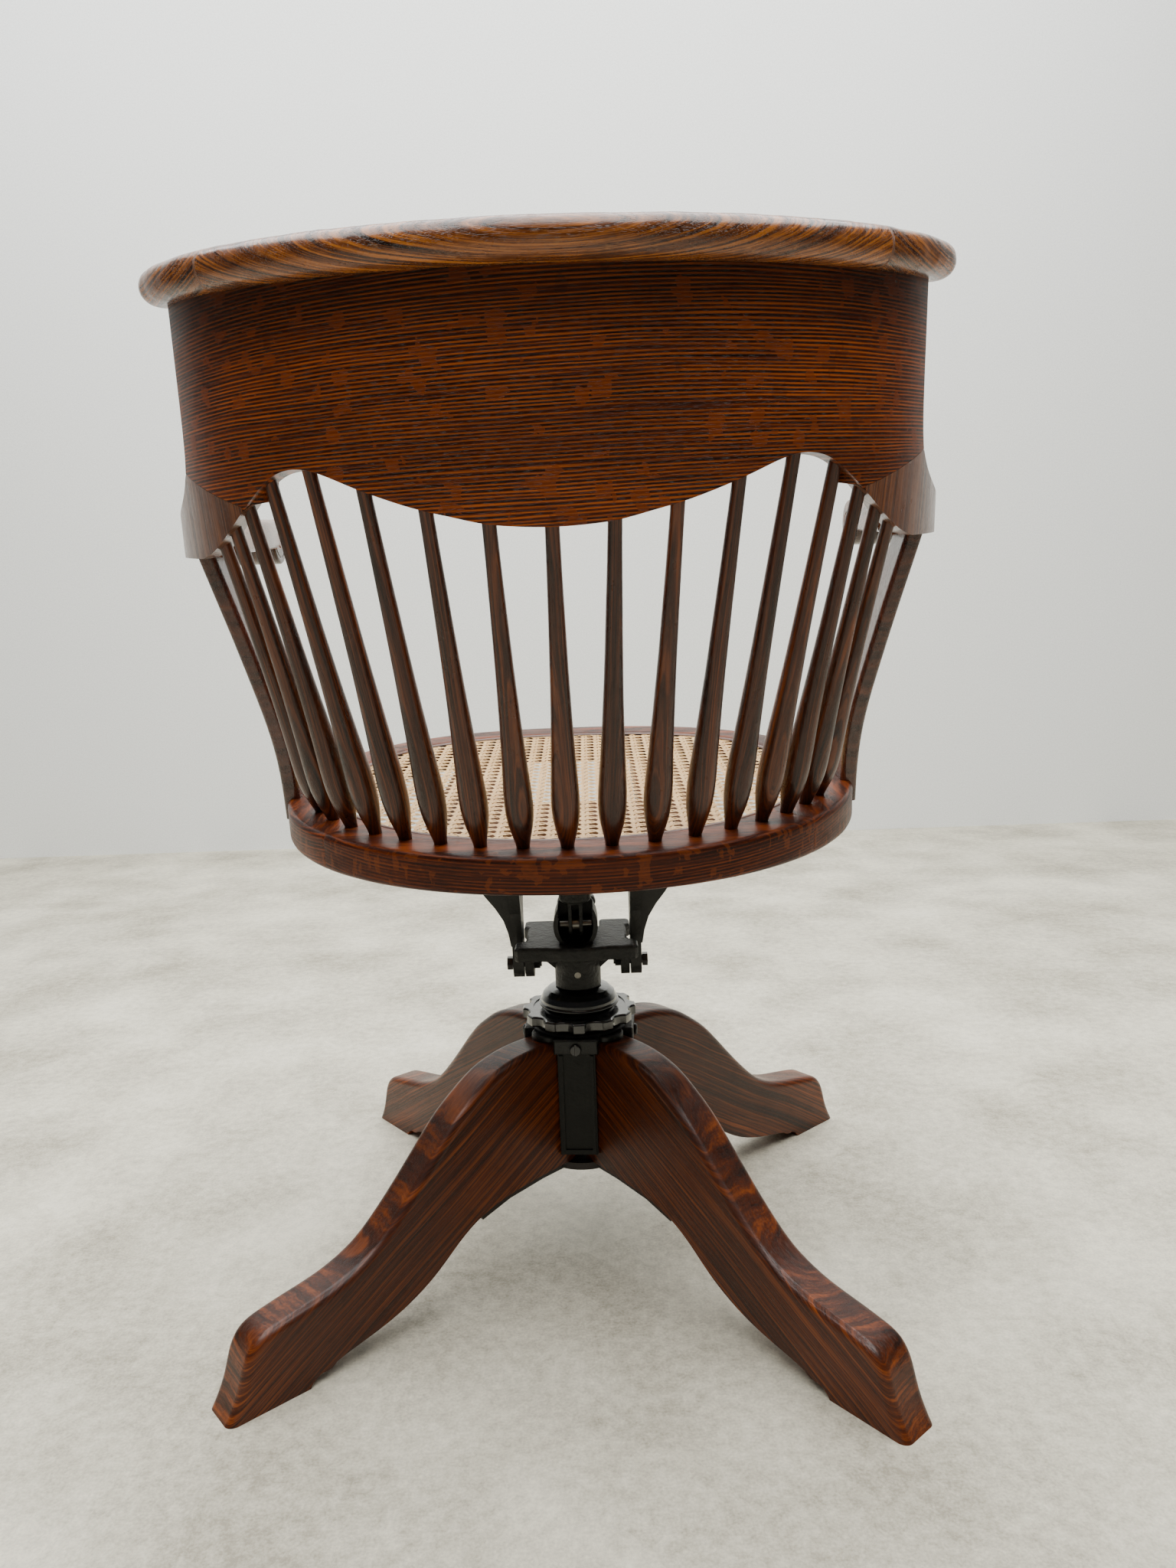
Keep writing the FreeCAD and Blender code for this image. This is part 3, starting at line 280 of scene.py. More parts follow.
# ------------------------------------------------------------------ mesh helpers
def tilt_pts(P, a, y0, z0):
    "turns points in millimetres about an X axis, high points moving to +Y"
    c, s = math.cos(a), math.sin(a)
    Q = np.array(P, float)
    y, z = Q[..., 1] - y0, Q[..., 2] - z0
    out = Q.copy()
    out[..., 1] = y0 + y * c + z * s
    out[..., 2] = z0 - y * s + z * c
    return out

def lean(P):
    "seat frame in millimetres to the row frame in metres, at rest"
    Q = tilt_pts(P, RECLINE, 0.0, 270.0)
    Q[..., 1] += OY
    return Q / 1000.0

def lift(P):
    Q = np.array(P, float)
    Q[..., 1] += OY
    return Q / 1000.0

def piece(name, V, F, mat, body, rep=(), wood=None, sharp=38.0, bevel=None, extra=None, recalc=True):
    me = bpy.data.meshes.new(name)
    me.from_pydata(np.asarray(V, float).reshape(-1, 3).tolist(), [], [tuple(int(i) for i in f) for f in F])
    if wood is not None:
        a = me.attributes.new("wood", "FLOAT_VECTOR", "POINT")
        a.data.foreach_set("vector", np.asarray(wood, np.float32).ravel())
    for k, arr in (extra or {}).items():
        a = me.attributes.new(k, "FLOAT_VECTOR", "POINT")
        a.data.foreach_set("vector", np.asarray(arr, np.float32).ravel())
    if recalc:
        bm = bmesh.new(); bm.from_mesh(me)
        bmesh.ops.recalc_face_normals(bm, faces=bm.faces)
        bm.to_mesh(me); bm.free()
    me.polygons.foreach_set("use_smooth", [True] * len(me.polygons))
    me.set_sharp_from_angle(angle=rad(sharp))
    ob = bpy.data.objects.new(name, me)
    bpy.context.scene.collection.objects.link(ob)
    for m_ in (mat if isinstance(mat, (list, tuple)) else [mat]):
        me.materials.append(m_)
    if bevel:
        b = ob.modifiers.new("edge", "BEVEL")
        b.width, b.segments, b.limit_method, b.angle_limit = bevel[0], bevel[1], "ANGLE", rad(bevel[2] if len(bevel) > 2 else 40)
        b.harden_normals = False
    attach(ob, body)
    if rep:
        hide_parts(*rep)
    return ob

def skin(nu, nv, cu=False, cv=False, base=0):
    "quads of a grid with nu stations of nv points"
    F = []
    for i in range(nu if cu else nu - 1):
        a, b = i * nv, ((i + 1) % nu) * nv
        for j in range(nv if cv else nv - 1):
            k = (j + 1) % nv
            F.append((base + a + j, base + a + k, base + b + k, base + b + j))
    return F

def se(t, a, b, n):
    s, c = np.sin(t), np.cos(t)
    return a * np.sign(s) * np.abs(s) ** (2.0 / n), b * np.sign(c) * np.abs(c) ** (2.0 / n)

def by_length(a, b, n, te, k=2400):
    "superellipse arc from -te to te, sampled evenly by length"
    t = np.linspace(-te, te, 6001)
    x, y = se(t, a, b, n)
    d = np.concatenate([[0], np.cumsum(np.hypot(np.diff(x), np.diff(y)))])
    w = np.linspace(0, d[-1], k + 1)
    return np.interp(w, d, x), np.interp(w, d, y), d[-1]

def cspline(xs, ys):
    "natural cubic through points, returned as a function"
    xs, ys = np.array(xs, float), np.array(ys, float)
    n = len(xs)
    h = np.diff(xs)
    A = np.eye(n); r = np.zeros(n)
    for i in range(1, n - 1):
        A[i, i - 1], A[i, i], A[i, i + 1] = h[i - 1], 2 * (h[i - 1] + h[i]), h[i]
        r[i] = 3 * ((ys[i + 1] - ys[i]) / h[i] - (ys[i] - ys[i - 1]) / h[i - 1])
    c = np.linalg.solve(A, r)
    def f(x):
        x = np.asarray(x, float)
        i = np.clip(np.searchsorted(xs, x) - 1, 0, n - 2)
        d = x - xs[i]
        b = (ys[i + 1] - ys[i]) / h[i] - h[i] * (2 * c[i] + c[i + 1]) / 3
        dd = (c[i + 1] - c[i]) / (3 * h[i])
        return ys[i] + b * d + c[i] * d * d + dd * d ** 3
    return f

def dress(node, mat, slots=None):
    o = NODES[node]
    if not o.data.materials:
        o.data.materials.append(mat)
    for s in o.material_slots:
        s.material = mat

rng = random.Random(4)

# ------------------------------------------------------------------ dimensions shared with the construction
SC = [(0, 664.6), (22, 665.5), (42, 668.0), (58, 671.8), (72, 675.2), (86, 679.2), (100, 684.0), (116, 690.0), (132, 696.8), (146, 701.8), (157, 703.4), (168, 702.0),
      (179, 697.0), (190, 688.6), (202, 678.4), (214, 668.0), (226, 658.6), (236, 653.2), (246, 650)]
sc_f = cspline([-x for x, z in SC[::-1]] + [x for x, z in SC[1:]], [z for x, z in SC[::-1]] + [z for x, z in SC[1:]])
def z_scallop(x):
    return np.where(np.abs(x) < 246, sc_f(np.clip(x, -246, 246)), 650.0)
SW = [(155, 850), (155, 800), (155, 760), (154.2, 728), (150.5, 709), (139, 695), (119, 685.5), (94, 680), (62, 677)]
# the swept front edge, followed by its length
sw_d = np.concatenate([[0], np.cumsum([math.dist(SW[i], SW[i + 1]) for i in range(len(SW) - 1)])])
sw_s = np.linspace(0, sw_d[-1], 1200)
SWY, SWZ = cspline(sw_d, [y for y, z in SW])(sw_s), cspline(sw_d, [z for y, z in SW])(sw_s)
Y_JOIN = 150.4                    # the seam meets the front edge here
def y_panel(z):
    return np.minimum(np.maximum(np.interp(z, SWZ[::-1], SWY[::-1]), Y_JOIN), 155.0)
def z_sweep(y):
    return np.interp(y, np.maximum.accumulate(SWY[::-1]) + np.linspace(0, 1e-6, 1200), SWZ[::-1])
def y_block(z):
    return np.full(np.shape(z), 62.0)

TE = rad(84)
BACK_A, BACK_B = 300.5, 289.4
E0 = by_length(BACK_A, BACK_B, 2.0, TE)
US = np.linspace(-1, 1, 2401)
def band(u, z, d):
    "point of the bent back board: u along it, height z, depth d inwards; millimetres, level frame"
    x, y = np.interp(u, US, E0[0]), np.interp(u, US, E0[1])
    nx, ny = x / BACK_A ** 2, y / BACK_B ** 2
    q = np.hypot(nx, ny)
    return x - nx / q * d, y - ny / q * d

def u_end(z, d, want_f):
    "where the front edge cuts the board"
    lo, hi = np.full(np.shape(z), 0.35), np.full(np.shape(z), 1.0)
    want = want_f(z)
    for _ in range(26):
        mid_ = (lo + hi) / 2
        y = band(mid_, z, d)[1]
        lo = np.where(y > want, mid_, lo); hi = np.where(y > want, hi, mid_)
    return (lo + hi) / 2
def z_seam(y):
    return 705.5 - 0.38 * (y - 156.0)
def z_crest(y):
    return 812.2 - (y - 200.0) * math.tan(rad(4.5))
HALF_LEN = E0[2] / 2

# ------------------------------------------------------------------ back board and the two corner blocks
def solid_band(name, v_list, low, top, mat, rep, grain, rows=26, deps=5, bev=(0.0011, 2, 42), jump=None, front=y_panel):
    """closed band between two heights. v_list: places along the board as shares of its half length; low and top give the heights at (x, y)."""
    dl = np.linspace(0, 22.0, deps)
    V, W = [], []
    def heights(v, d, f, guess):
        z = np.full(np.shape(v), guess, float)
        for _ in range(10):
            u = v * u_end(z, d, front)
            x, y = band(u, z, d)
            z = f(x, y)
        return z
    v = np.array(v_list)
    loops = []
    zl = [heights(v, d, low, 690.0) for d in dl]
    zt = [heights(v, d, top, 800.0) for d in dl]
    if jump is not None:
        zl = [np.where(jump[0], a, b) for a, b in zip(zl, [heights(v, d, jump[1], 690.0) for d in dl])]
    ws = np.linspace(0, 1, rows)
    seq = [(0, w) for w in ws] + [(k, 1.0) for k in range(1, deps - 1)] + [(deps - 1, w) for w in ws[::-1]] + [(k, 0.0) for k in range(deps - 2, 0, -1)]
    for k, w in seq:
        d = dl[k]
        z = zl[k] + (zt[k] - zl[k]) * w
        u = v * u_end(z, np.full(np.shape(z), d), front)
        x, y = band(u, z, d)
        loops.append(np.stack([x, y, z], 1))
        W.append(grain(x, y, z, u * HALF_LEN, d))
    P = np.stack(loops, 1)            # stations x loop x 3
    W = np.stack(W, 1)
    n, m = P.shape[:2]
    F = skin(n, m, False, True)
    # ends: strips across the thickness
    for st in (0, n - 1):
        o = st * m
        outer = list(range(rows))
        inner = [rows + (deps - 2) + (rows - 1 - i) for i in range(rows)]
        for i in range(rows - 1):
            F.append((o + outer[i], o + outer[i + 1], o + inner[i + 1], o + inner[i]))
        topc = [outer[-1]] + [rows + k for k in range(deps - 2)] + [inner[-1]]
        botc = [outer[0]] + [m - 1 - k for k in range(deps - 2)] + [inner[0]]
        F.append(tuple(o + i for i in topc))
        F.append(tuple(o + i for i in botc[::-1]))
    ob = piece(name, lean(P.reshape(-1, 3)), F, mat, "seat", rep, wood=W.reshape(-1, 3), bevel=bev)
    return ob

# share of the half length at which |x| reaches 200
def share(front):
    vv = np.linspace(0.3, 0.98, 3001)
    zz = np.full(3001, 681.0)
    return float(np.interp(200.0, band(vv * u_end(zz, 0.0, front), zz, 0.0)[0], vv))
V198, VB = share(y_panel), share(y_block)

def shade_and_grime_under_crest(g, base, v, l):
    """painted shade and grime: the board is darker just under the crest"""
    L, R, T = g.sep(v)
    hgt = g.m("SUBTRACT", R, g.m("MULTIPLY", g.m("SUBTRACT", L, 0.02), 0.03))
    # painted shade: a band under the crest is mixed towards near black, standing in for the crest's shadow together
    # with grime
    return g.mix(g.m("MULTIPLY", g.ramp(hgt, [(0.062, 0.0), (0.110, 1.0)]), 0.55), base, lin(14, 5, 2))

m_board = oak("oak_back_board", light=(156, 80, 27), mid=(80, 33, 9), dark=(19, 6, 2), red=(100, 40, 12), spacing=2.35, fleck=1.1, fleck_col=(150, 68, 18),
              wave=0.45, contrast=1.4, rough=0.33, tone=0.7, redness=0.08, line_len=5.0, regular=0.62, smudge=0.25, coat=0.08, spec=0.26,
              fleck_mix=0.62, wear_and_painted_shade=shade_and_grime_under_crest)
def g_board(x, y, z, s, d):
    sl = 0.030
    return np.stack([s / 1000 + 0.02, (z - 700 + s * sl) / 1000.0, np.full(np.shape(s), 0.0) + d / 1000.0 + 0.003], -1)
vs = np.concatenate([np.linspace(-1, -V198 - 0.0008, 46), np.linspace(-V198 + 0.0008, V198 - 0.0008, 190), np.linspace(V198 + 0.0008, 1, 46)])
side = np.abs(vs) > V198
solid_band("back_board_shell", vs, lambda x, y: z_scallop(x), lambda x, y: z_crest(y) + 2.0, m_board, ("back_board",), g_board,
           jump=(~side, lambda x, y: z_seam(y) + 0.15))

m_block = oak("oak_corner_blocks", light=(140, 88, 52), mid=(100, 58, 32), dark=(44, 24, 14), red=(120, 60, 34), spacing=3.4, wave=1.1, contrast=0.9, rough=0.30,
              tone=0.5, redness=0.3, line_len=6.0, smudge=0.25, coat=0.35)
def g_block(x, y, z, s, d):
    # the grain runs up and down and leans forward
    return np.stack([(z - 0.25 * np.abs(s)) / 1000.0, (s + np.sign(s) * 0.18 * (700 - z)) / 1000.0, np.full(np.shape(s), (d + 4.0) / 1000.0)], -1)
for nm, sg in (("right", 1), ("left", -1)):
    vb = np.linspace(VB + 0.0008, 1, 90) * sg
    solid_band("corner_block_" + nm, vb, lambda x, y: z_scallop(x), lambda x, y: np.where(y > Y_JOIN, z_seam(y) - 0.15, np.minimum(z_sweep(y), z_seam(Y_JOIN) - 0.15)), m_block, ("arm_" + nm,),
               g_block, rows=16, front=y_block)

# ------------------------------------------------------------------ crest rail
def crest():
    te = rad(59)
    n = 260
    t = np.linspace(-te, te, 6001)
    x, y = se(t, 315.5, 304.7, 2.0)
    d = np.concatenate([[0], np.cumsum(np.hypot(np.diff(x), np.diff(y)))])
    w = np.linspace(0, d[-1], n)
    X_, Y_ = np.interp(w, d, x), np.interp(w, d, y)
    tx, ty = np.gradient(X_), np.gradient(Y_)
    q = np.hypot(tx, ty); tx, ty = tx / q, ty / q
    nx, ny = -ty, tx                   # outwards
    cx, cy = X_ - nx * 23.0, Y_ - ny * 23.0
    prof = [(0.2, 835.8), (5.8, 835.8)]
    for k in range(9):
        a = rad(90 - k * 90 / 8)
        prof.append((11.4 + 11.6 * math.cos(a), 824.2 + 11.6 * math.sin(a)))
    for k in range(9):
        a = rad(-k * 90 / 8)
        prof.append((11.4 + 11.6 * math.cos(a), 823.8 + 11.6 * math.sin(a)))
    prof += [(5.8, 812.2), (0.2, 812.2)]
    st = []                             # (cx, cy, dirx, diry, s)
    for i in range(n):
        st.append((cx[i], cy[i], nx[i], ny[i], w[i]))
    for k in range(1, 16):
        a = math.pi * k / 16
        c, s = math.cos(a), math.sin(a)
        st.append((cx[-1], cy[-1], nx[-1] * c + tx[-1] * s, ny[-1] * c + ty[-1] * s, w[-1]))
    for i in range(n - 1, -1, -1):
        st.append((cx[i], cy[i], -nx[i], -ny[i], w[i]))
    for k in range(1, 16):
        a = math.pi * k / 16
        c, s = math.cos(a), math.sin(a)
        st.append((cx[0], cy[0], -nx[0] * c - tx[0] * s, -ny[0] * c - ty[0] * s, w[0]))
    P, W = [], []
    for (a, b, ux, uy, s) in st:
        ang = math.degrees(math.atan2(a, b))
        for o, z in prof:
            px, py = a + ux * o, b + uy * o
            nz = noise.noise(Vector((px * 0.045, py * 0.045, z * 0.07)))
            n2 = noise.noise(Vector((px * 0.16 + 9, py * 0.16, z * 0.2)))
            k = 1 + (0.35 * nz + 0.16 * n2) / 14.0 * (1 if o > 6 else 0.3)
            P.append((a + ux * o * k, b + uy * o * k, 824.0 + (z - 824.0) * k))
            W.append((px, py, z, ang))
    P = tilt_pts(np.array(P), rad(4.5), 200.0, 824.0)
    m = len(prof)
    F = skin(len(st), m, True, False)
    # close the narrow slits along the middle line, top and bottom
    N = len(st)
    mid_i = lambda i: i
    for j in (0, m - 1):
        for i in range(n - 1):
            a, b = i, i + 1
            c, d2 = 2 * n + 15 - 1 - (i + 1), 2 * n + 15 - 1 - i
            F.append((a * m + j, b * m + j, c * m + j, d2 * m + j))
        F.append(tuple(((n - 1 + k) % N) * m + j for k in range(0, 17)))
        F.append(tuple(((2 * n + 14 + k) % N) * m + j for k in range(0, 17)))
    W = np.array(W)
    out = np.zeros((len(W), 3))
    for lo, hi, al, off in ((-180, -43, -63, 0.3), (-43, 43, 0, 0.0), (43, 180, 63, 0.7)):
        k = (W[:, 3] >= lo) & (W[:, 3] < hi)
        a = rad(al)
        # grain of each segment runs along its own chord
        Lx = W[k, 0] * math.cos(a) - W[k, 1] * math.sin(a)
        Rx = W[k, 0] * math.sin(a) + W[k, 1] * math.cos(a)
        out[k] = np.stack([Lx / 1000 + off, Rx / 1000, W[k, 2] / 1000], -1)
    return lean(P), F, out
def crest_wear(g, base, v, l):
    n = g.noise(g.v("MULTIPLY", v, (60.0, 160.0, 160.0)), 1, 4, 0.7)
    return g.mix(g.m("MULTIPLY", g.ramp(n, [(0.60, 0.0), (0.70, 1.0)]), 0.35), base, lin(178, 122, 66))
m_crest = oak("oak_crest", light=(176, 108, 44), mid=(108, 58, 20), dark=(28, 12, 5), red=(130, 58, 20), spacing=2.0, pith=(0.150, 0.690), wave=0.9, contrast=1.4,
              rough=0.27, coat=0.28, tone=0.55, redness=0.10, smudge=0.4, wear_and_painted_shade=crest_wear, line_len=4.0, spec=0.4)
P, F, W = crest()
piece("crest_rail_nosing", P, F, m_crest, "seat", ("crest_rail",), wood=W, sharp=60)

# ------------------------------------------------------------------ seat hoop
def hoop_xy(t, a, b, nr, nf):
    xr, yr = se(t, a, b, nr); xf, yf = se(t, a, b, nf)
    rear = np.cos(t) > 0
    return np.where(rear, xr, xf), np.where(rear, yr, yf)
def hoop():
    joints = [-130.0, -48.0, 48.0, 130.0]
    base_t = np.linspace(-180, 180, 289)[:-1]
    ts = sorted(set([round(float(t), 3) for t in base_t if min(abs(t - j) for j in joints) > 0.5] + [j + e for j in joints for e in (-0.45, -0.03, 0.03, 0.45)]))
    P, W = [], []
    for t_ in ts:
        t = rad(t_)
        ox, oy = [float(q) for q in hoop_xy(t, 243.0, 234.0, 2.1, 2.4)]
        ix, iy = [float(q) for q in hoop_xy(t, 196.0, 187.0, 2.1, 2.6)]
        rx, ry = [float(q) for q in hoop_xy(t, 203.2, 194.2, 2.1, 2.6)]
        L = math.hypot(ox - ix, oy - iy); dx, dy = (ox - ix) / L, (oy - iy) / L
        pts = [(rx, ry, 443.4), (rx, ry, 446.0), (rx + dx * 0.5, ry + dy * 0.5, 446.4)]
        for f in (0.25, 0.5, 0.75):
            pts.append((rx + (ox - dx * 4.5 - rx) * f, ry + (oy - dy * 4.5 - ry) * f, 446.4))
        for k in range(6):
            a = rad(90 - 18 * k)
            pts.append((ox - dx * (4.5 - 4.5 * math.cos(a)), oy - dy * (4.5 - 4.5 * math.cos(a)), 441.9 + 4.5 * math.sin(a)))
        for f in (0.25, 0.5, 0.75):
            pts.append((ox, oy, 441.9 + (422.4 - 441.9) * f))
        for k in range(6):
            a = rad(-18 * k)
            pts.append((ox - dx * (4.5 - 4.5 * math.cos(a)), oy - dy * (4.5 - 4.5 * math.cos(a)), 422.4 + 4.5 * math.sin(a)))
        for f in (0.33, 0.66):
            pts.append((ox - dx * 4.5 + (ix - ox + dx * 4.5) * f, oy - dy * 4.5 + (iy - oy + dy * 4.5) * f, 417.9))
        pts += [(ix + dx * 1.0, iy + dy * 1.0, 417.9), (ix, iy, 418.9), (ix, iy, 442.8), (ix + dx * 0.6, iy + dy * 0.6, 443.4)]
        near = min(abs(t_ - j) for j in joints)
        cx, cy = (ox + ix) / 2, (oy + iy) / 2
        for (x, y, z) in pts:
            if near < 0.1:             # fine joint line: a tiny groove
                k = 0.9955
                P.append((cx + (x - cx) * k, cy + (y - cy) * k, 432.2 + (z - 432.2) * (k - 0.012)))
            else:
                wv = 0.22 * noise.noise(Vector((x * 0.05, y * 0.05, z * 0.1)))
                P.append((x + dx * wv, y + dy * wv, z))
        seg = sum(1 for j in joints if t_ > j) % 4
        for (x, y, z) in pts:
            if seg in (2, 0):          # rear and front: grain across
                W.append((x / 1000 + 0.3 * seg, z / 1000 + 0.10 * y / 1000 + 0.2 * seg, y / 1000))
            else:                      # sides: grain front to back
                W.append((y / 1000 + 0.3 * seg, z / 1000 + 0.16 * x / 1000 + 0.2 * seg, x / 1000))
    m = len(pts)
    return lean(np.array(P)), skin(len(ts), m, True, True), np.array(W)
m_hoop = oak("oak_seat_hoop", light=(130, 60, 18), mid=(70, 27, 8), dark=(22, 7, 3), red=(88, 26, 10), spacing=2.6, fleck=1.5, fleck_col=(156, 74, 18),
             wave=0.35, contrast=1.0, rough=0.38, coat=0.03, tone=0.7, redness=0.15, line_len=7.0, regular=0.4, spec=0.15, fleck_mix=0.42)
P, F, W = hoop()
piece("seat_hoop_frame", P, F, m_hoop, "seat", ("seat_hoop",), wood=W, sharp=50)

# ------------------------------------------------------------------ spindles
SP_PROF = [(-0.02, 4.8), (0.0, 4.8), (0.03, 5.9), (0.07, 8.0), (0.11, 9.4), (0.15, 9.9), (0.19, 9.8), (0.26, 9.0), (0.36, 7.9), (0.5, 6.7), (0.65, 5.8), (0.8, 5.1), (0.92, 4.6), (1.0, 4.4), (1.04, 4.4)]
spf = cspline([f for f, r in SP_PROF], [r for f, r in SP_PROF])
m_spin = oak("oak_spindles", light=(118, 60, 22), mid=(66, 29, 10), dark=(22, 8, 3), red=(84, 28, 12), spacing=2.3, wave=0.8, contrast=1.0, rough=0.30, coat=0.16, spec=0.32,
             tone=0.45, redness=0.3, smudge=0.3, line_len=5.0, pore=0.5)
SP_TOP = (0.0, 37.2, 75.0, 113.4, 149.3, 179.4, 199.2, 214.0, 226.9)
for i in range(17):
    th = rad((i - 8) * 8.07)
    bx, by = 222.0 * math.sin(th), 210.0 * math.cos(th)
    tx = math.copysign(SP_TOP[abs(i - 8)], bx)
    ty = 278.4 * math.sqrt(1 - (tx / 289.5) ** 2)
    tz = float(np.interp(abs(tx), [q[0] for q in SC], [q[1] for q in SC]))
    b, t = Vector((bx, by, 446.4)), Vector((tx, ty, tz))
    d = t - b
    Ls = d.length; d.normalize()
    u = d.orthogonal().normalized()
    u = Vector((1, 0, 0)) - d * d.x
    u.normalize(); w = d.cross(u)
    fs = np.concatenate([np.linspace(-0.02, 0.24, 26), np.linspace(0.26, 1.04, 36)])
    K = 24
    P, W = [], []
    turn = rng.uniform(0, 6.28); dist = rng.uniform(0.018, 0.05); lo = rng.uniform(0, 3)
    ct, st_ = math.cos(turn), math.sin(turn)
    for f in fs:
        r = float(spf(f))
        for k in range(K):
            a = 2 * math.pi * k / K
            wob = 1 + 0.012 * noise.noise(Vector((f * 9, math.cos(a) * 1.3 + i, math.sin(a) * 1.3)))
            p = b + d * (f * Ls) + (u * math.cos(a) + w * math.sin(a)) * (r * wob)
            P.append(tuple(p))
            x1, y1 = r * math.cos(a), r * math.sin(a)
            W.append((f * Ls / 1000 + lo, (x1 * ct - y1 * st_) / 1000 + dist + 0.10, (x1 * st_ + y1 * ct) / 1000 + 0.3 * (i % 5)))
    F = skin(len(fs), K, False, True) + [tuple(range(K))[::-1], tuple((len(fs) - 1) * K + k for k in range(K))]
    piece("turned_spindle_%02d" % (i + 1), lean(np.array(P)), F, m_spin, "seat", ("spindle_%02d" % (i + 1),), wood=np.array(W), sharp=60)

# ------------------------------------------------------------------ woven cane
def cane():
    Pm = 12.7
    A0, B0 = 203.0 - 1.6, 194.0 - 1.6
    V, F, W = [], [], []
    def inside(x, y):
        n = np.where(y > 0, 2.1, 2.6)
        return (np.abs(x) / A0) ** n + (np.abs(y) / B0) ** n < 1
    def strand(x0, y0, dx, dy, wid, zf, sid):
        s = np.linspace(-300, 300, 2401)
        ok = inside(x0 + dx * s, y0 + dy * s)
        if ok.sum() < 30:
            return
        a, b = s[ok].min(), s[ok].max()
        n = max(4, int((b - a) / 1.25))
        s = np.linspace(a, b, n)
        x, y = x0 + dx * s, y0 + dy * s
        rr = 1 - ((np.abs(x) / A0) ** 2.3 + (np.abs(y) / B0) ** 2.3)
        sag = -2.2 * np.clip(rr, 0, 1)
        flat = np.clip(rr / 0.02, 0, 1)
        z = zf(x, y) * flat + sag + 444.55
        jit = rng.uniform(-0.10, 0.10)
        nx, ny = -dy, dx
        h = wid / 2
        sec = ((-h, -0.10), (-h * 0.55, 0.20), (0.0, 0.30), (h * 0.55, 0.20), (h, -0.10), (0.0, -0.24))
        o = len(V)
        pts = np.zeros((n, 6, 3)); ws = np.zeros((n, 6, 3))
        for k, (c, zz) in enumerate(sec):
            pts[:, k, 0] = x + nx * (c + jit); pts[:, k, 1] = y + ny * (c + jit); pts[:, k, 2] = z + zz
            ws[:, k, 0] = s / 1000; ws[:, k, 1] = c / 1000; ws[:, k, 2] = sid
        V.extend(pts.reshape(-1, 3).tolist()); W.extend(ws.reshape(-1, 3).tolist())
        for i in range(n - 1):
            for k in range(6):
                k2 = (k + 1) % 6
                F.append((o + i * 6 + k, o + i * 6 + k2, o + (i + 1) * 6 + k2, o + (i + 1) * 6 + k))
        F.append(tuple(o + k for k in range(5, -1, -1)))
        F.append(tuple(o + (n - 1) * 6 + k for k in range(6)))
    e = 1.42
    lat = lambda q: q / Pm - np.round(q / Pm)
    def cross_wave(q, sign):
        "over one strand of a pair and under the other"
        u = (q / Pm - np.round(q / Pm)) * Pm
        return sign * 0.34 * np.sin(np.pi * np.clip(u / (2 * e), -1, 1))
    sid = 0
    for k in range(-16, 17):
        for a in (-1, 1):
            strand(k * Pm + a * e, 0.0, 0.0, 1.0, 2.35, lambda x, y, a=a: cross_wave(y, -a), sid); sid += 1
    for k in range(-16, 17):
        for a in (-1, 1):
            strand(0.0, k * Pm + a * e, 1.0, 0.0, 2.35, lambda x, y, a=a: cross_wave(x, a), sid); sid += 1
    q = math.sqrt(0.5)
    for k in range(-33, 33):
        c = (k + 0.5) * Pm
        strand(c / 2, -c / 2, q, q, 2.15, lambda x, y: 0.62 * np.cos(2 * np.pi * x / Pm), sid); sid += 1
        strand(c / 2, c / 2, q, -q, 2.15, lambda x, y: -0.62 * np.cos(2 * np.pi * x / Pm), sid); sid += 1
    return lean(np.array(V)), F, np.array(W)
g = G("cane_strands")
cv = g.attr("wood")
cl, cc, ci = g.sep(cv)
n1 = g.noise(g.xyz(g.m("MULTIPLY", cl, 14.0), g.m("MULTIPLY", cc, 900.0), g.m("MULTIPLY", ci, 7.31)), 1, 2, 0.6)
n2 = g.noise(g.xyz(g.m("MULTIPLY", cl, 5.0), 0.0, g.m("MULTIPLY", ci, 3.7)), 1, 2, 0.6)
n3 = g.noise(g.xyz(g.m("MULTIPLY", cl, 90.0), g.m("MULTIPLY", cc, 500.0), g.m("MULTIPLY", ci, 5.1)), 1, 2, 0.6)
col = g.ramp(n2, [(0.3, lin(172, 124, 60)), (0.52, lin(204, 160, 92)), (0.72, lin(226, 190, 128))])
col = g.mix(g.m("MULTIPLY", g.ramp(n1, [(0.35, 1.0), (0.55, 0.0)]), 0.35), col, lin(150, 104, 52))
col = g.mix(g.m("MULTIPLY", g.ramp(n3, [(0.64, 0.0), (0.74, 1.0)]), 0.5), col, lin(120, 78, 40))
g.put(g.b.inputs["Base Color"], col)
g.set(Roughness=0.36, Specular_IOR_Level=0.5, Coat_Weight=0.2, Coat_Roughness=0.25)
g.put(g.b.inputs["Normal"], g.bump(n1, 0.00012, 0.7))
m_cane = g.mat
P, F, W = cane()
piece("woven_cane", P, F, m_cane, "seat", ("cane_seat",), wood=W, sharp=75, recalc=False)

def reed():
    P, W = [], []
    N, K = 260, 8
    for i in range(N):
        t = 2 * math.pi * i / N
        x, y = [float(q) for q in hoop_xy(t, 203.0, 194.0, 2.1, 2.6)]
        xi, yi = [float(q) for q in hoop_xy(t, 198.5, 189.5, 2.1, 2.6)]
        for k in range(K):
            a = 2 * math.pi * k / K
            f = 0.5 + 0.5 * math.cos(a)
            P.append((xi + (x - xi) * f, yi + (y - yi) * f, 445.3 + (1.5 if math.sin(a) > 0 else 0.6) * math.sin(a)))
            W.append((t * 0.2, math.cos(a) * 0.002, math.sin(a) * 0.002))
    return lean(np.array(P)), skin(N, K, True, True), np.array(W)
m_reed = oak("reed_spline_stained", light=(120, 74, 42), mid=(78, 42, 24), dark=(40, 20, 12), spacing=1.2, wave=0.3, contrast=0.6, tone=0.4, redness=0.3, rough=0.32)
P, F, W = reed()
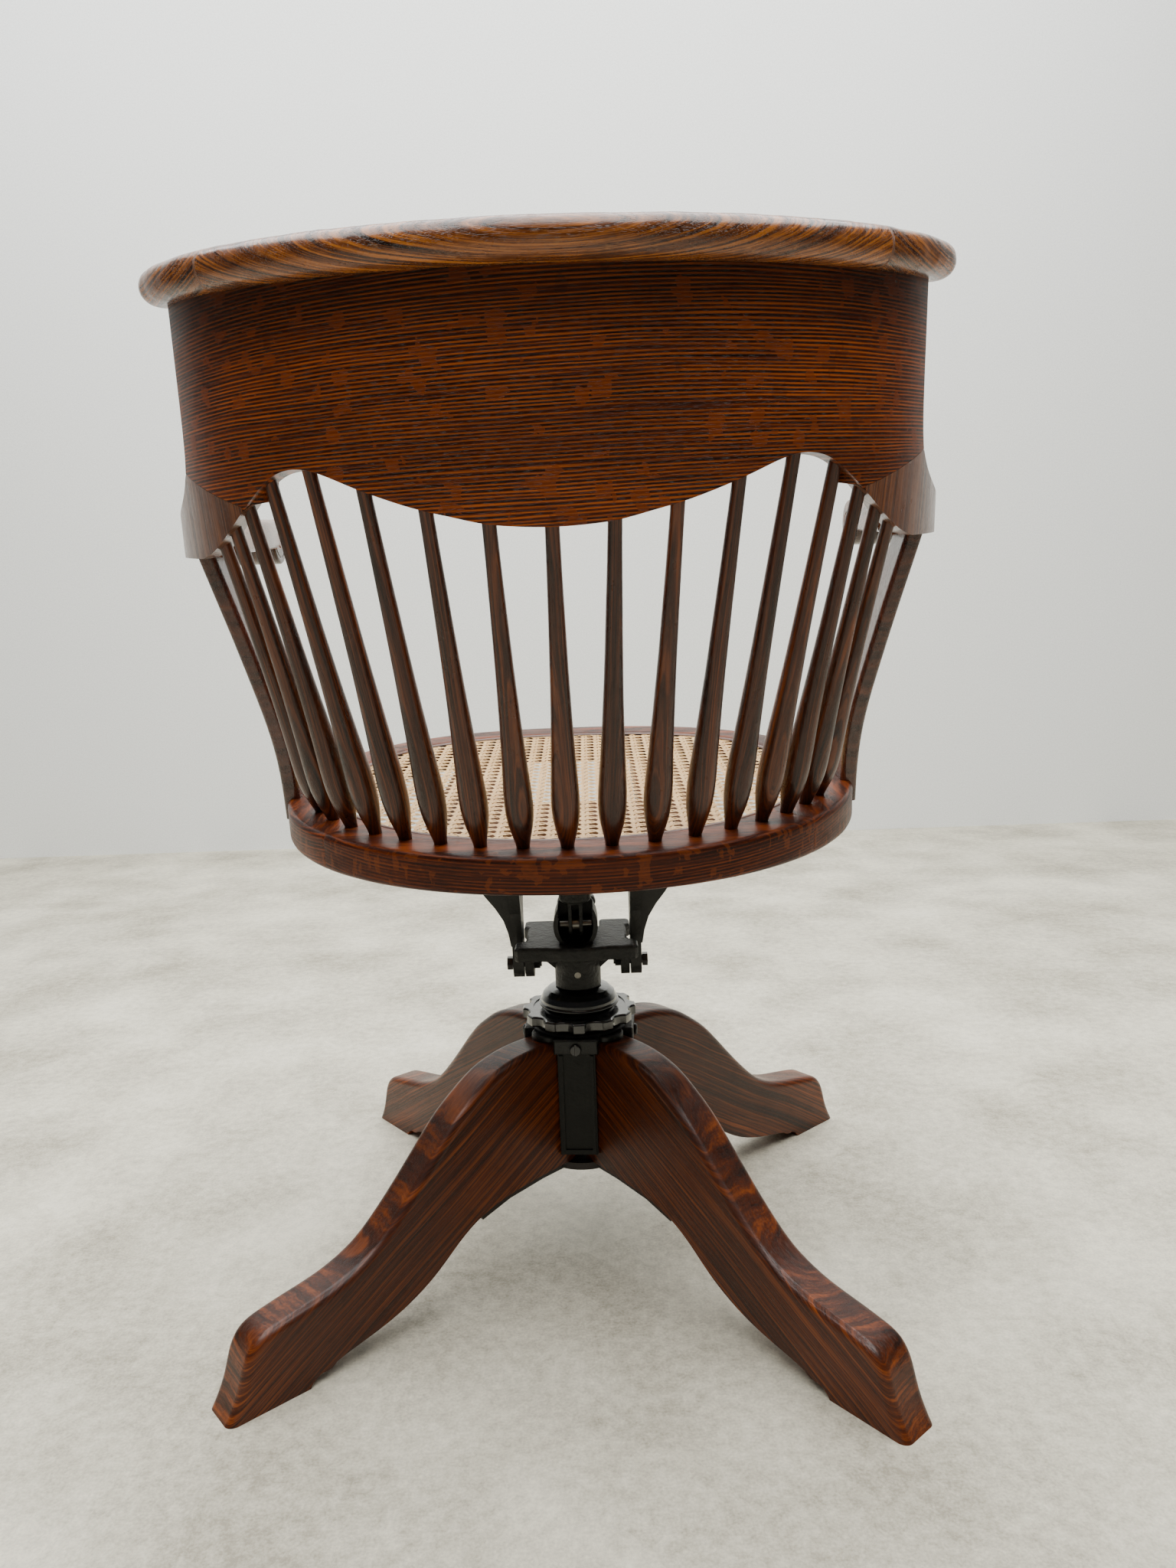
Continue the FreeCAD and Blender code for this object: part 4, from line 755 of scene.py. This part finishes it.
piece("reed_spline_ring", P, F, m_reed, "seat", ("cane_spline",), wood=W, sharp=70)

# ------------------------------------------------------------------ legs: carried over, each with its own run of grain
slope = rad(-31)
for k, (nm, a) in enumerate((("leg_rear_left", 135), ("leg_rear_right", 45), ("leg_front_right", -45), ("leg_front_left", -135))):
    a = rad(a) + BASE_TURN
    er = Vector((math.cos(a), math.sin(a), 0)); et = Vector((-math.sin(a), math.cos(a), 0)); ez = Vector((0, 0, 1))
    Ld = er * math.cos(slope) + ez * math.sin(slope)
    Rd = -er * math.sin(slope) + ez * math.cos(slope)
    # the rings lie across the board a little differently in each leg
    q = rad((16, -24, 12, 30)[k])
    R2 = Rd * math.cos(q) + et * math.sin(q)
    T2 = -Rd * math.sin(q) + et * math.cos(q)
    org = Vector((0, OY / 1000, 0.10))
    mt = oak("oak_" + nm, vec=lambda g, o=org, l=Ld, r=R2, t=T2: g.to(g.obj(), tuple(o), tuple(l), tuple(r), tuple(t)),
             light=(142, 72, 24), mid=(78, 34, 10), dark=(24, 9, 3), red=(90, 32, 10), spacing=3.4, pith=((-0.16, 0.07), (-0.10, -0.05), (-0.14, 0.06), (-0.12, -0.06))[k], wave=1.2, contrast=0.85,
             rough=0.33, coat=0.10, tone=0.65, redness=0.2, seed=k * 1.9 + 0.4, line_len=3.2, smudge=0.3, spec=0.3)
    dress(nm, mt)

# ------------------------------------------------------------------ arms and posts
A_OUT = [(300.5 * math.sin(rad(t)), 289.4 * math.cos(rad(t))) for t in (60, 66, 72, 78, 84)] + [(302.2, 4), (307, -22), (312.5, -48), (318.5, -80), (323.5, -112)]
A_IN = [(268, -112), (263.5, -84), (259.5, -48), (257, -12), (255, 28), (252, 62), (246.5, 92), (238.5, 118), (230, 136)]
a_out0 = cspline([y for x, y in A_OUT[::-1]], [x for x, y in A_OUT[::-1]])
def a_out(y):
    e = min(max((y - 60.0) / 5.0, 0.0), 1.0)
    return a_out0(y) - 1.5 * e
a_in = cspline([y for x, y in A_IN], [x for x, y in A_IN])
def arm_board(sg):
    ys = np.concatenate([np.linspace(136, 66, 18), np.linspace(64, -112, 58)])
    P, W = [], []
    for y in ys:
        xo, xi = float(a_out(y)), float(a_in(y))
        ring = []
        # the outer edges are square where the board meets the corner block and round over towards the front
        ro = 1.2 + 4.8 * min(max((62.0 - y) / 55.0, 0.0), 1.0)
        for r, cx, cz, a0 in ((ro, xo - ro, 677.0 - ro, 90), (ro, xo - ro, 650.0 + ro, 0), (6.0, xi + 6, 656.0, -90), (6.0, xi + 6, 671.0, -180)):
            for k in range(7):
                a = rad(a0 - 15 * k)
                ring.append((cx + r * math.cos(a), cz + r * math.sin(a)))
            if a0 in (90, -90):
                continue
        # points along the broad faces
        full = []
        for k in range(len(ring)):
            full.append(ring[k])
            if k in (13, 27):
                q = ring[(k + 1) % 28]
                for f in (0.2, 0.4, 0.6, 0.8):
                    full.append((ring[k][0] + (q[0] - ring[k][0]) * f, ring[k][1] + (q[1] - ring[k][1]) * f))
        for x, z in full:
            n1 = 0.25 * noise.noise(Vector((x * 0.04, y * 0.04, z * 0.06 + sg * 5)))
            P.append((sg * (x + n1 * 0.6), y, z + n1 * (1 if z > 663 else -1)))
            W.append((-(y + 0.16 * x) / 1000, (x + 0.22 * z) / 1000 * sg, (z - 0.15 * x) / 1000))
    m = len(full)
    F = skin(len(ys), m, False, True) + [tuple(range(m)), tuple((len(ys) - 1) * m + k for k in range(m))]
    return P, F, W

def knuckle(sg):
    """scroll block at the arm's front: a drum across the arm, a thin spiral cut in both end faces"""
    Rk, yc, zc, x0, x1 = 20.6, -112.0, 656.6, 267.6, 323.6
    K, NR = 132, 40
    prof = []                            # (x, r, on_face)
    for i in range(1, NR + 1):
        prof.append((x0, 18.1 * i / NR, -1))
    for k in range(1, 6):
        a = rad(18 * k)
        prof.append((x0 + 2.5 - 2.5 * math.cos(a), 18.1 + 2.5 * math.sin(a), 0))
    for k in range(1, 9):
        prof.append((x0 + 2.5 + (x1 - x0 - 5) * k / 9, Rk, 0))
    for k in range(0, 6):
        a = rad(18 * k)
        prof.append((x1 - 2.5 + 2.5 * math.sin(a), 18.1 + 2.5 * math.cos(a), 0))
    for i in range(NR - 1, 0, -1):
        prof.append((x1, 18.1 * i / NR, 1))
    P, W = [], []
    def groove(r, ph):
        # spiral: starts at the rim on top and winds inwards for one turn and a half
        best = 9.0
        for turn in range(-1, 3):
            q = ph + 2 * math.pi * turn
            if 0.0 <= q <= 3.1 * math.pi:
                best = min(best, abs(r - (19.6 - 1.52 * q)))
        return best
    for x, r, face in prof:
        for k in range(K):
            a = 2 * math.pi * k / K
            y, z = yc + r * math.cos(a), zc + r * math.sin(a)
            dx = 0.0
            if face:
                ph = (math.pi / 2 + 0.35 - a) % (2 * math.pi)
                gq = groove(r, ph)
                dx = -face * 1.1 * math.exp(-(gq / 0.62) ** 2)
                dx += face * 0.05 * noise.noise(Vector((y * 0.2, z * 0.2, x)))
            P.append((sg * (x + dx), y, z))
            W.append((-(y + 0.16 * x) / 1000, (x + 0.22 * z) / 1000 * sg, z / 1000))
    n = len(prof)
    F = skin(n, K, False, True)
    for st, xx in ((0, x0), (n - 1, x1)):
        c = len(P)
        P.append((sg * xx, yc, zc)); W.append((-(yc + 0.16 * xx) / 1000, (xx + 0.22 * zc) / 1000 * sg, zc / 1000))
        for k in range(K):
            F.append((st * K + k, st * K + (k + 1) % K, c))
    return P, F, W

def arm_coords(g):
    "the block glued under the arm board is another piece of oak"
    v = g.attr("wood")
    low = g.m("LESS_THAN", g.sep(v)[2], 0.6498)
    g.low = low
    return g.v("ADD", v, g.xyz(g.m("MULTIPLY", low, 0.37), g.m("MULTIPLY", low, 0.21), 0.0))
def scroll_shade_and_seam(g, base, v, l):
    z = g.sep(g.attr("wood"))[2]
    seam = g.m("LESS_THAN", g.m("ABSOLUTE", g.m("SUBTRACT", z, 0.6498)), 0.00035)
    # painted shade: the scroll's lower part, below the glue line, is darkened strongly for the shade under the roll;
    # the thin dark glue line along the seam is real
    base = g.mix(g.m("MULTIPLY", g.low, 0.72), base, lin(24, 14, 10))
    return g.mix(g.m("MULTIPLY", seam, 0.8), base, lin(14, 8, 6))
for nm, sg in (("right", 1), ("left", -1)):
    mt = oak("oak_arm_" + nm, light=(150, 90, 46), mid=(104, 56, 28), dark=(42, 22, 13), red=(120, 48, 24), spacing=3.0, wave=0.9, contrast=0.9, rough=0.26,
             coat=0.45, tone=0.5, redness=0.35, seed=2.1 + sg, line_len=4.0)
    P, F, W = arm_board(sg)
    piece("arm_board_" + nm, lean(np.array(P)), F, mt, "seat", ("arm_" + nm,), wood=np.array(W), sharp=60)
    mt = oak("oak_scroll_" + nm, vec=arm_coords, light=(150, 90, 46), mid=(104, 56, 28), dark=(42, 22, 13), red=(120, 48, 24), spacing=3.0, wave=0.9, contrast=0.9, rough=0.26,
             coat=0.45, tone=0.5, redness=0.35, seed=2.1 + sg, line_len=4.0, wear_and_painted_shade=scroll_shade_and_seam)
    P, F, W = knuckle(sg)
    piece("arm_scroll_" + nm, lean(np.array(P)), F, mt, "seat", ("arm_" + nm,), wood=np.array(W), sharp=50)

for nm, sg in (("right", 1), ("left", -1)):
    def pv(g, sg=sg):
        L = Vector((0.20 * sg, 0.0, 1)).normalized(); Rr = Vector((0, 1, 0)); T = L.cross(Rr)
        return g.to(g.obj(), (0.24 * sg, 0, 0.43), tuple(L), tuple(Rr), tuple(T))
    mt = oak("oak_post_" + nm, vec=pv, light=(104, 58, 38), mid=(70, 36, 24), dark=(32, 16, 12), red=(92, 34, 24), spacing=2.6, wave=0.8, contrast=0.8, rough=0.26, coat=0.45,
             tone=0.45, redness=0.5, seed=5.3 + sg, pore=0.5)
    dress("arm_post_" + nm, mt)
    def rv(g):
        return g.to(g.obj(), (0, 0, 0.4), (0, 1, 0), (1, 0, 0.2), (0, 0, 1))
    dress("cross_rail_" + nm, oak("oak_rail_" + nm, vec=rv, light=(150, 104, 62), mid=(116, 76, 44), dark=(66, 40, 24), red=(120, 66, 38), spacing=3.4, rough=0.55, coat=0.0,
                                  contrast=0.7, redness=0.2, seed=7 + sg))
dress("centre_rail", oak("oak_rail_centre", vec=lambda g: g.to(g.obj(), (0, 0, 0.4), (1, 0, 0), (0, 1, 0.2), (0, 0, 1)), light=(150, 104, 62), mid=(116, 76, 44), dark=(66, 40, 24),
                         red=(120, 66, 38), spacing=3.4, rough=0.55, coat=0.0, contrast=0.7, redness=0.2, seed=9.0))
dress("crest_dowels", oak("beech_dowels", vec=lambda g: g.to(g.obj(), (0, 0, 0), (0, 0, 1), (1, 0, 0), (0, 1, 0)), light=(206, 170, 120), mid=(186, 146, 96), dark=(150, 110, 70),
                          red=(180, 130, 84), spacing=1.4, contrast=0.5, rough=0.6, coat=0.0, pore=0.2, smudge=0.1, redness=0.1))

# ------------------------------------------------------------------ iron
m_cast = iron("cast_iron_rough", base=(11, 12, 11), dust=(66, 68, 62), rough=0.48, cast=0.85, dusty=0.28, coat=0.05, spec=0.3)
m_satin = iron("cast_iron_satin", base=(12, 13, 12), dust=(60, 64, 58), rough=0.46, cast=0.35, dusty=0.25, coat=0.08, spec=0.32)
m_gloss = iron("gloss_black_iron", base=(10, 11, 12), dust=(60, 62, 60), rough=0.20, cast=0.12, dusty=0.2, coat=0.7)
m_plate = iron("cover_plate_black", base=(14, 15, 13), dust=(56, 58, 52), rough=0.46, cast=0.30, dusty=0.3, coat=0.0, spec=0.22)
m_cross = iron("cross_dark", base=(24, 18, 15), dust=(70, 58, 48), rough=0.42, cast=0.35, dusty=0.4, coat=0.1, spec=0.35)
m_screw = iron("blackened_screws", base=(16, 17, 17), dust=(70, 68, 62), rough=0.36, cast=0.15, dusty=0.3)
for n in ("yoke_casting", "tilt_finger"):
    dress(n, m_cast)
for n in ("seat_bracket_left", "seat_bracket_right", "hub_casting", "tension_knob"):
    dress(n, m_satin)
for n in ("handwheel_nut", "dust_cap"):
    dress(n, m_gloss)
dress("cover_plates", m_plate)
dress("base_cross", m_cross)
for n in ("cover_screws", "base_cross_screws", "bracket_screws", "rail_screws", "finger_screws", "pivot_bolts", "pivot_nuts"):
    dress(n, m_screw)
m_steel = steel("oiled_steel")
for n in ("tension_rod", "rod_cross_pin", "spring_washer", "thrust_washer", "spindle_pin"):
    dress(n, m_steel)

# screw spindle with its 8 mm right-hand thread, lead-in chamfers at both ends
def screw_spindle():
    K, p = 60, 8.0
    zs = np.concatenate([[106.0, 107.5], np.arange(108.2, 280.0, 0.55), [280.2, 281.0]])
    P = []
    for z in zs:
        cap = min(1.0, (z - 106.0) / 2.2, (281.0 - z) / 0.8) if 106 < z < 281 else 0.0
        for k in range(K):
            a = 2 * math.pi * k / K
            q = (z / p - k / K) % 1.0
            # crest, flank, root, flank
            d = 0.0 if q < 0.40 else ((q - 0.40) / 0.12 if q < 0.52 else (1.0 if q < 0.86 else (1.0 - q) / 0.14))
            r = 12.46 - 1.75 * d
            if z > 244.0:                   # plain shank inside the yoke
                r = 12.46 - 1.75 * d * max(0.0, 1 - (z - 244.0) / 3.0)
            r = min(r, 10.9 + 1.6 * cap)
            P.append((r * math.cos(a), r * math.sin(a), z))
    n = len(zs)
    return lift(P), skin(n, K, False, True) + [tuple(range(K))[::-1], tuple((n - 1) * K + k for k in range(K))]
P, F = screw_spindle()
piece("screw_spindle_threaded", P, F, m_steel, "yoke", ("threaded_spindle",), sharp=32)

# coil spring in two runs of one wire
def coil(y0, y1):
    K, Rc, rw, p = 12, 11.8, 2.08, 6.6
    n = int((y1 - y0) / p * 44) + 1
    P = []
    for i in range(n):
        y = y0 + (y1 - y0) * i / (n - 1)
        t = 2 * math.pi * (y + 30.9) / p
        c = Vector((Rc * math.cos(t), y, Rc * math.sin(t)))
        tan = Vector((-Rc * math.sin(t), p / (2 * math.pi), Rc * math.cos(t))).normalized()
        e1 = Vector((math.cos(t), 0, math.sin(t))); e2 = tan.cross(e1)
        for k in range(K):
            a = 2 * math.pi * k / K
            v = c + e1 * (rw * math.cos(a)) + e2 * (rw * math.sin(a))
            P.append((v.x, v.y, v.z + 312.0))
    return lift(P), skin(n, K, False, True) + [tuple(range(K))[::-1], tuple((n - 1) * K + k for k in range(K))]
def blend_piece(name, V, F, mat, rep_):
    me = bpy.data.meshes.new(name)
    me.from_pydata(np.asarray(V, float).tolist(), [], [tuple(int(i) for i in f) for f in F])
    bm = bmesh.new(); bm.from_mesh(me); bmesh.ops.recalc_face_normals(bm, faces=bm.faces); bm.to_mesh(me); bm.free()
    me.polygons.foreach_set("use_smooth", [True] * len(me.polygons))
    me.set_sharp_from_angle(angle=rad(60))
    ob = bpy.data.objects.new(name, me); bpy.context.scene.collection.objects.link(ob)
    me.materials.append(mat)
    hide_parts(*rep_)
    return ob
P, F = coil(-17.66, 2.1)
ob = piece("coil_spring_rear_run", P, F, m_steel, "yoke", ("coil_spring",), sharp=60)
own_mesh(ob)
P, F = coil(-30.9, -17.74)
ob = blend_piece("coil_spring_front_run", P, F, m_steel, ("coil_spring",))
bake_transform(ob)

# ------------------------------------------------------------------ stage and light
def plane(name, V, F, mat):
    me = bpy.data.meshes.new(name); me.from_pydata(V, [], F); me.update()
    me.polygons.foreach_set("use_smooth", [True] * len(me.polygons))
    o = bpy.data.objects.new(name, me); bpy.context.scene.collection.objects.link(o)
    me.materials.append(mat); o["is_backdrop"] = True
    return o
g = G("floor_pale")
fv = g.obj()
a = g.noise(g.v("MULTIPLY", fv, (5.0, 5.0, 5.0)), 1, 4, 0.6)
b = g.noise(g.v("MULTIPLY", fv, (90.0, 90.0, 90.0)), 1, 3, 0.65)
c = g.noise(g.v("MULTIPLY", fv, (420.0, 420.0, 420.0)), 1, 2, 0.6)
f = g.m("ADD", g.m("MULTIPLY", a, 0.50), g.m("ADD", g.m("MULTIPLY", b, 0.28), g.m("MULTIPLY", c, 0.22)))
g.put(g.b.inputs["Base Color"], g.ramp(f, [(0.38, lin(159, 153, 136)), (0.5, lin(199, 194, 176)), (0.62, lin(227, 222, 203))]))
g.set(Roughness=0.62, Specular_IOR_Level=0.35)
m_floor = g.mat
g = G("backdrop_pale")
a = g.noise(g.v("MULTIPLY", g.obj(), (260.0, 260.0, 260.0)), 1, 2, 0.6)
g.put(g.b.inputs["Base Color"], g.ramp(a, [(0.3, lin(234, 236, 234)), (0.7, lin(248, 250, 248))]))
g.set(Roughness=0.9, Specular_IOR_Level=0.1)
m_wall = g.mat
R0 = 0.12
yw = -2.00
pr = [(3.5, 0.0), (yw + R0, 0.0)] + [(yw + R0 - R0 * math.sin(rad(k * 11.25)), R0 - R0 * math.cos(rad(k * 11.25))) for k in range(1, 9)]
fl = [(-5, 4.5, 0), (5, 4.5, 0), (5, yw, 0), (-5, yw, 0)]
plane("floor", fl, [(0, 3, 2, 1)], m_floor)
V, F = [], []
pw = [(yw, 0.0), (yw, 3.2)]
plane("backdrop", [(-5, yw, 0), (5, yw, 0), (5, yw, 3.4), (-5, yw, 3.4)], [(0, 1, 2, 3)], m_wall)

world = bpy.data.worlds.new("world"); bpy.context.scene.world = world
world.use_nodes = True
bg = world.node_tree.nodes["Background"]
bg.inputs[0].default_value = (0.92, 0.95, 1.0, 1)
bg.inputs[1].default_value = 0.07

def area(name, loc, target, size, power, color=(1, 1, 1)):
    l = bpy.data.lights.new(name, "AREA")
    l.shape = "RECTANGLE"; l.size, l.size_y = size; l.energy = power; l.color = color
    o = bpy.data.objects.new(name, l); bpy.context.scene.collection.objects.link(o)
    o.location = loc
    o.rotation_mode = "QUATERNION"
    o.rotation_quaternion = (Vector(target) - Vector(loc)).to_track_quat("-Z", "Y")
    return o
area("light_ceiling", (0.0, 0.25, 2.9), (0.0, 0.25, 0.0), (3.8, 2.7), 215, (1.0, 0.99, 0.97))
area("light_wall", (0.3, -1.25, 2.8), (0.3, -2.0, 0.6), (3.8, 0.6), 50, (0.98, 0.99, 1.0))
area("light_room", (0.3, 2.0, 3.0), (0, 0, 0.4), (1.6, 0.9), 10, (1.0, 0.99, 0.97))

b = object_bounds()
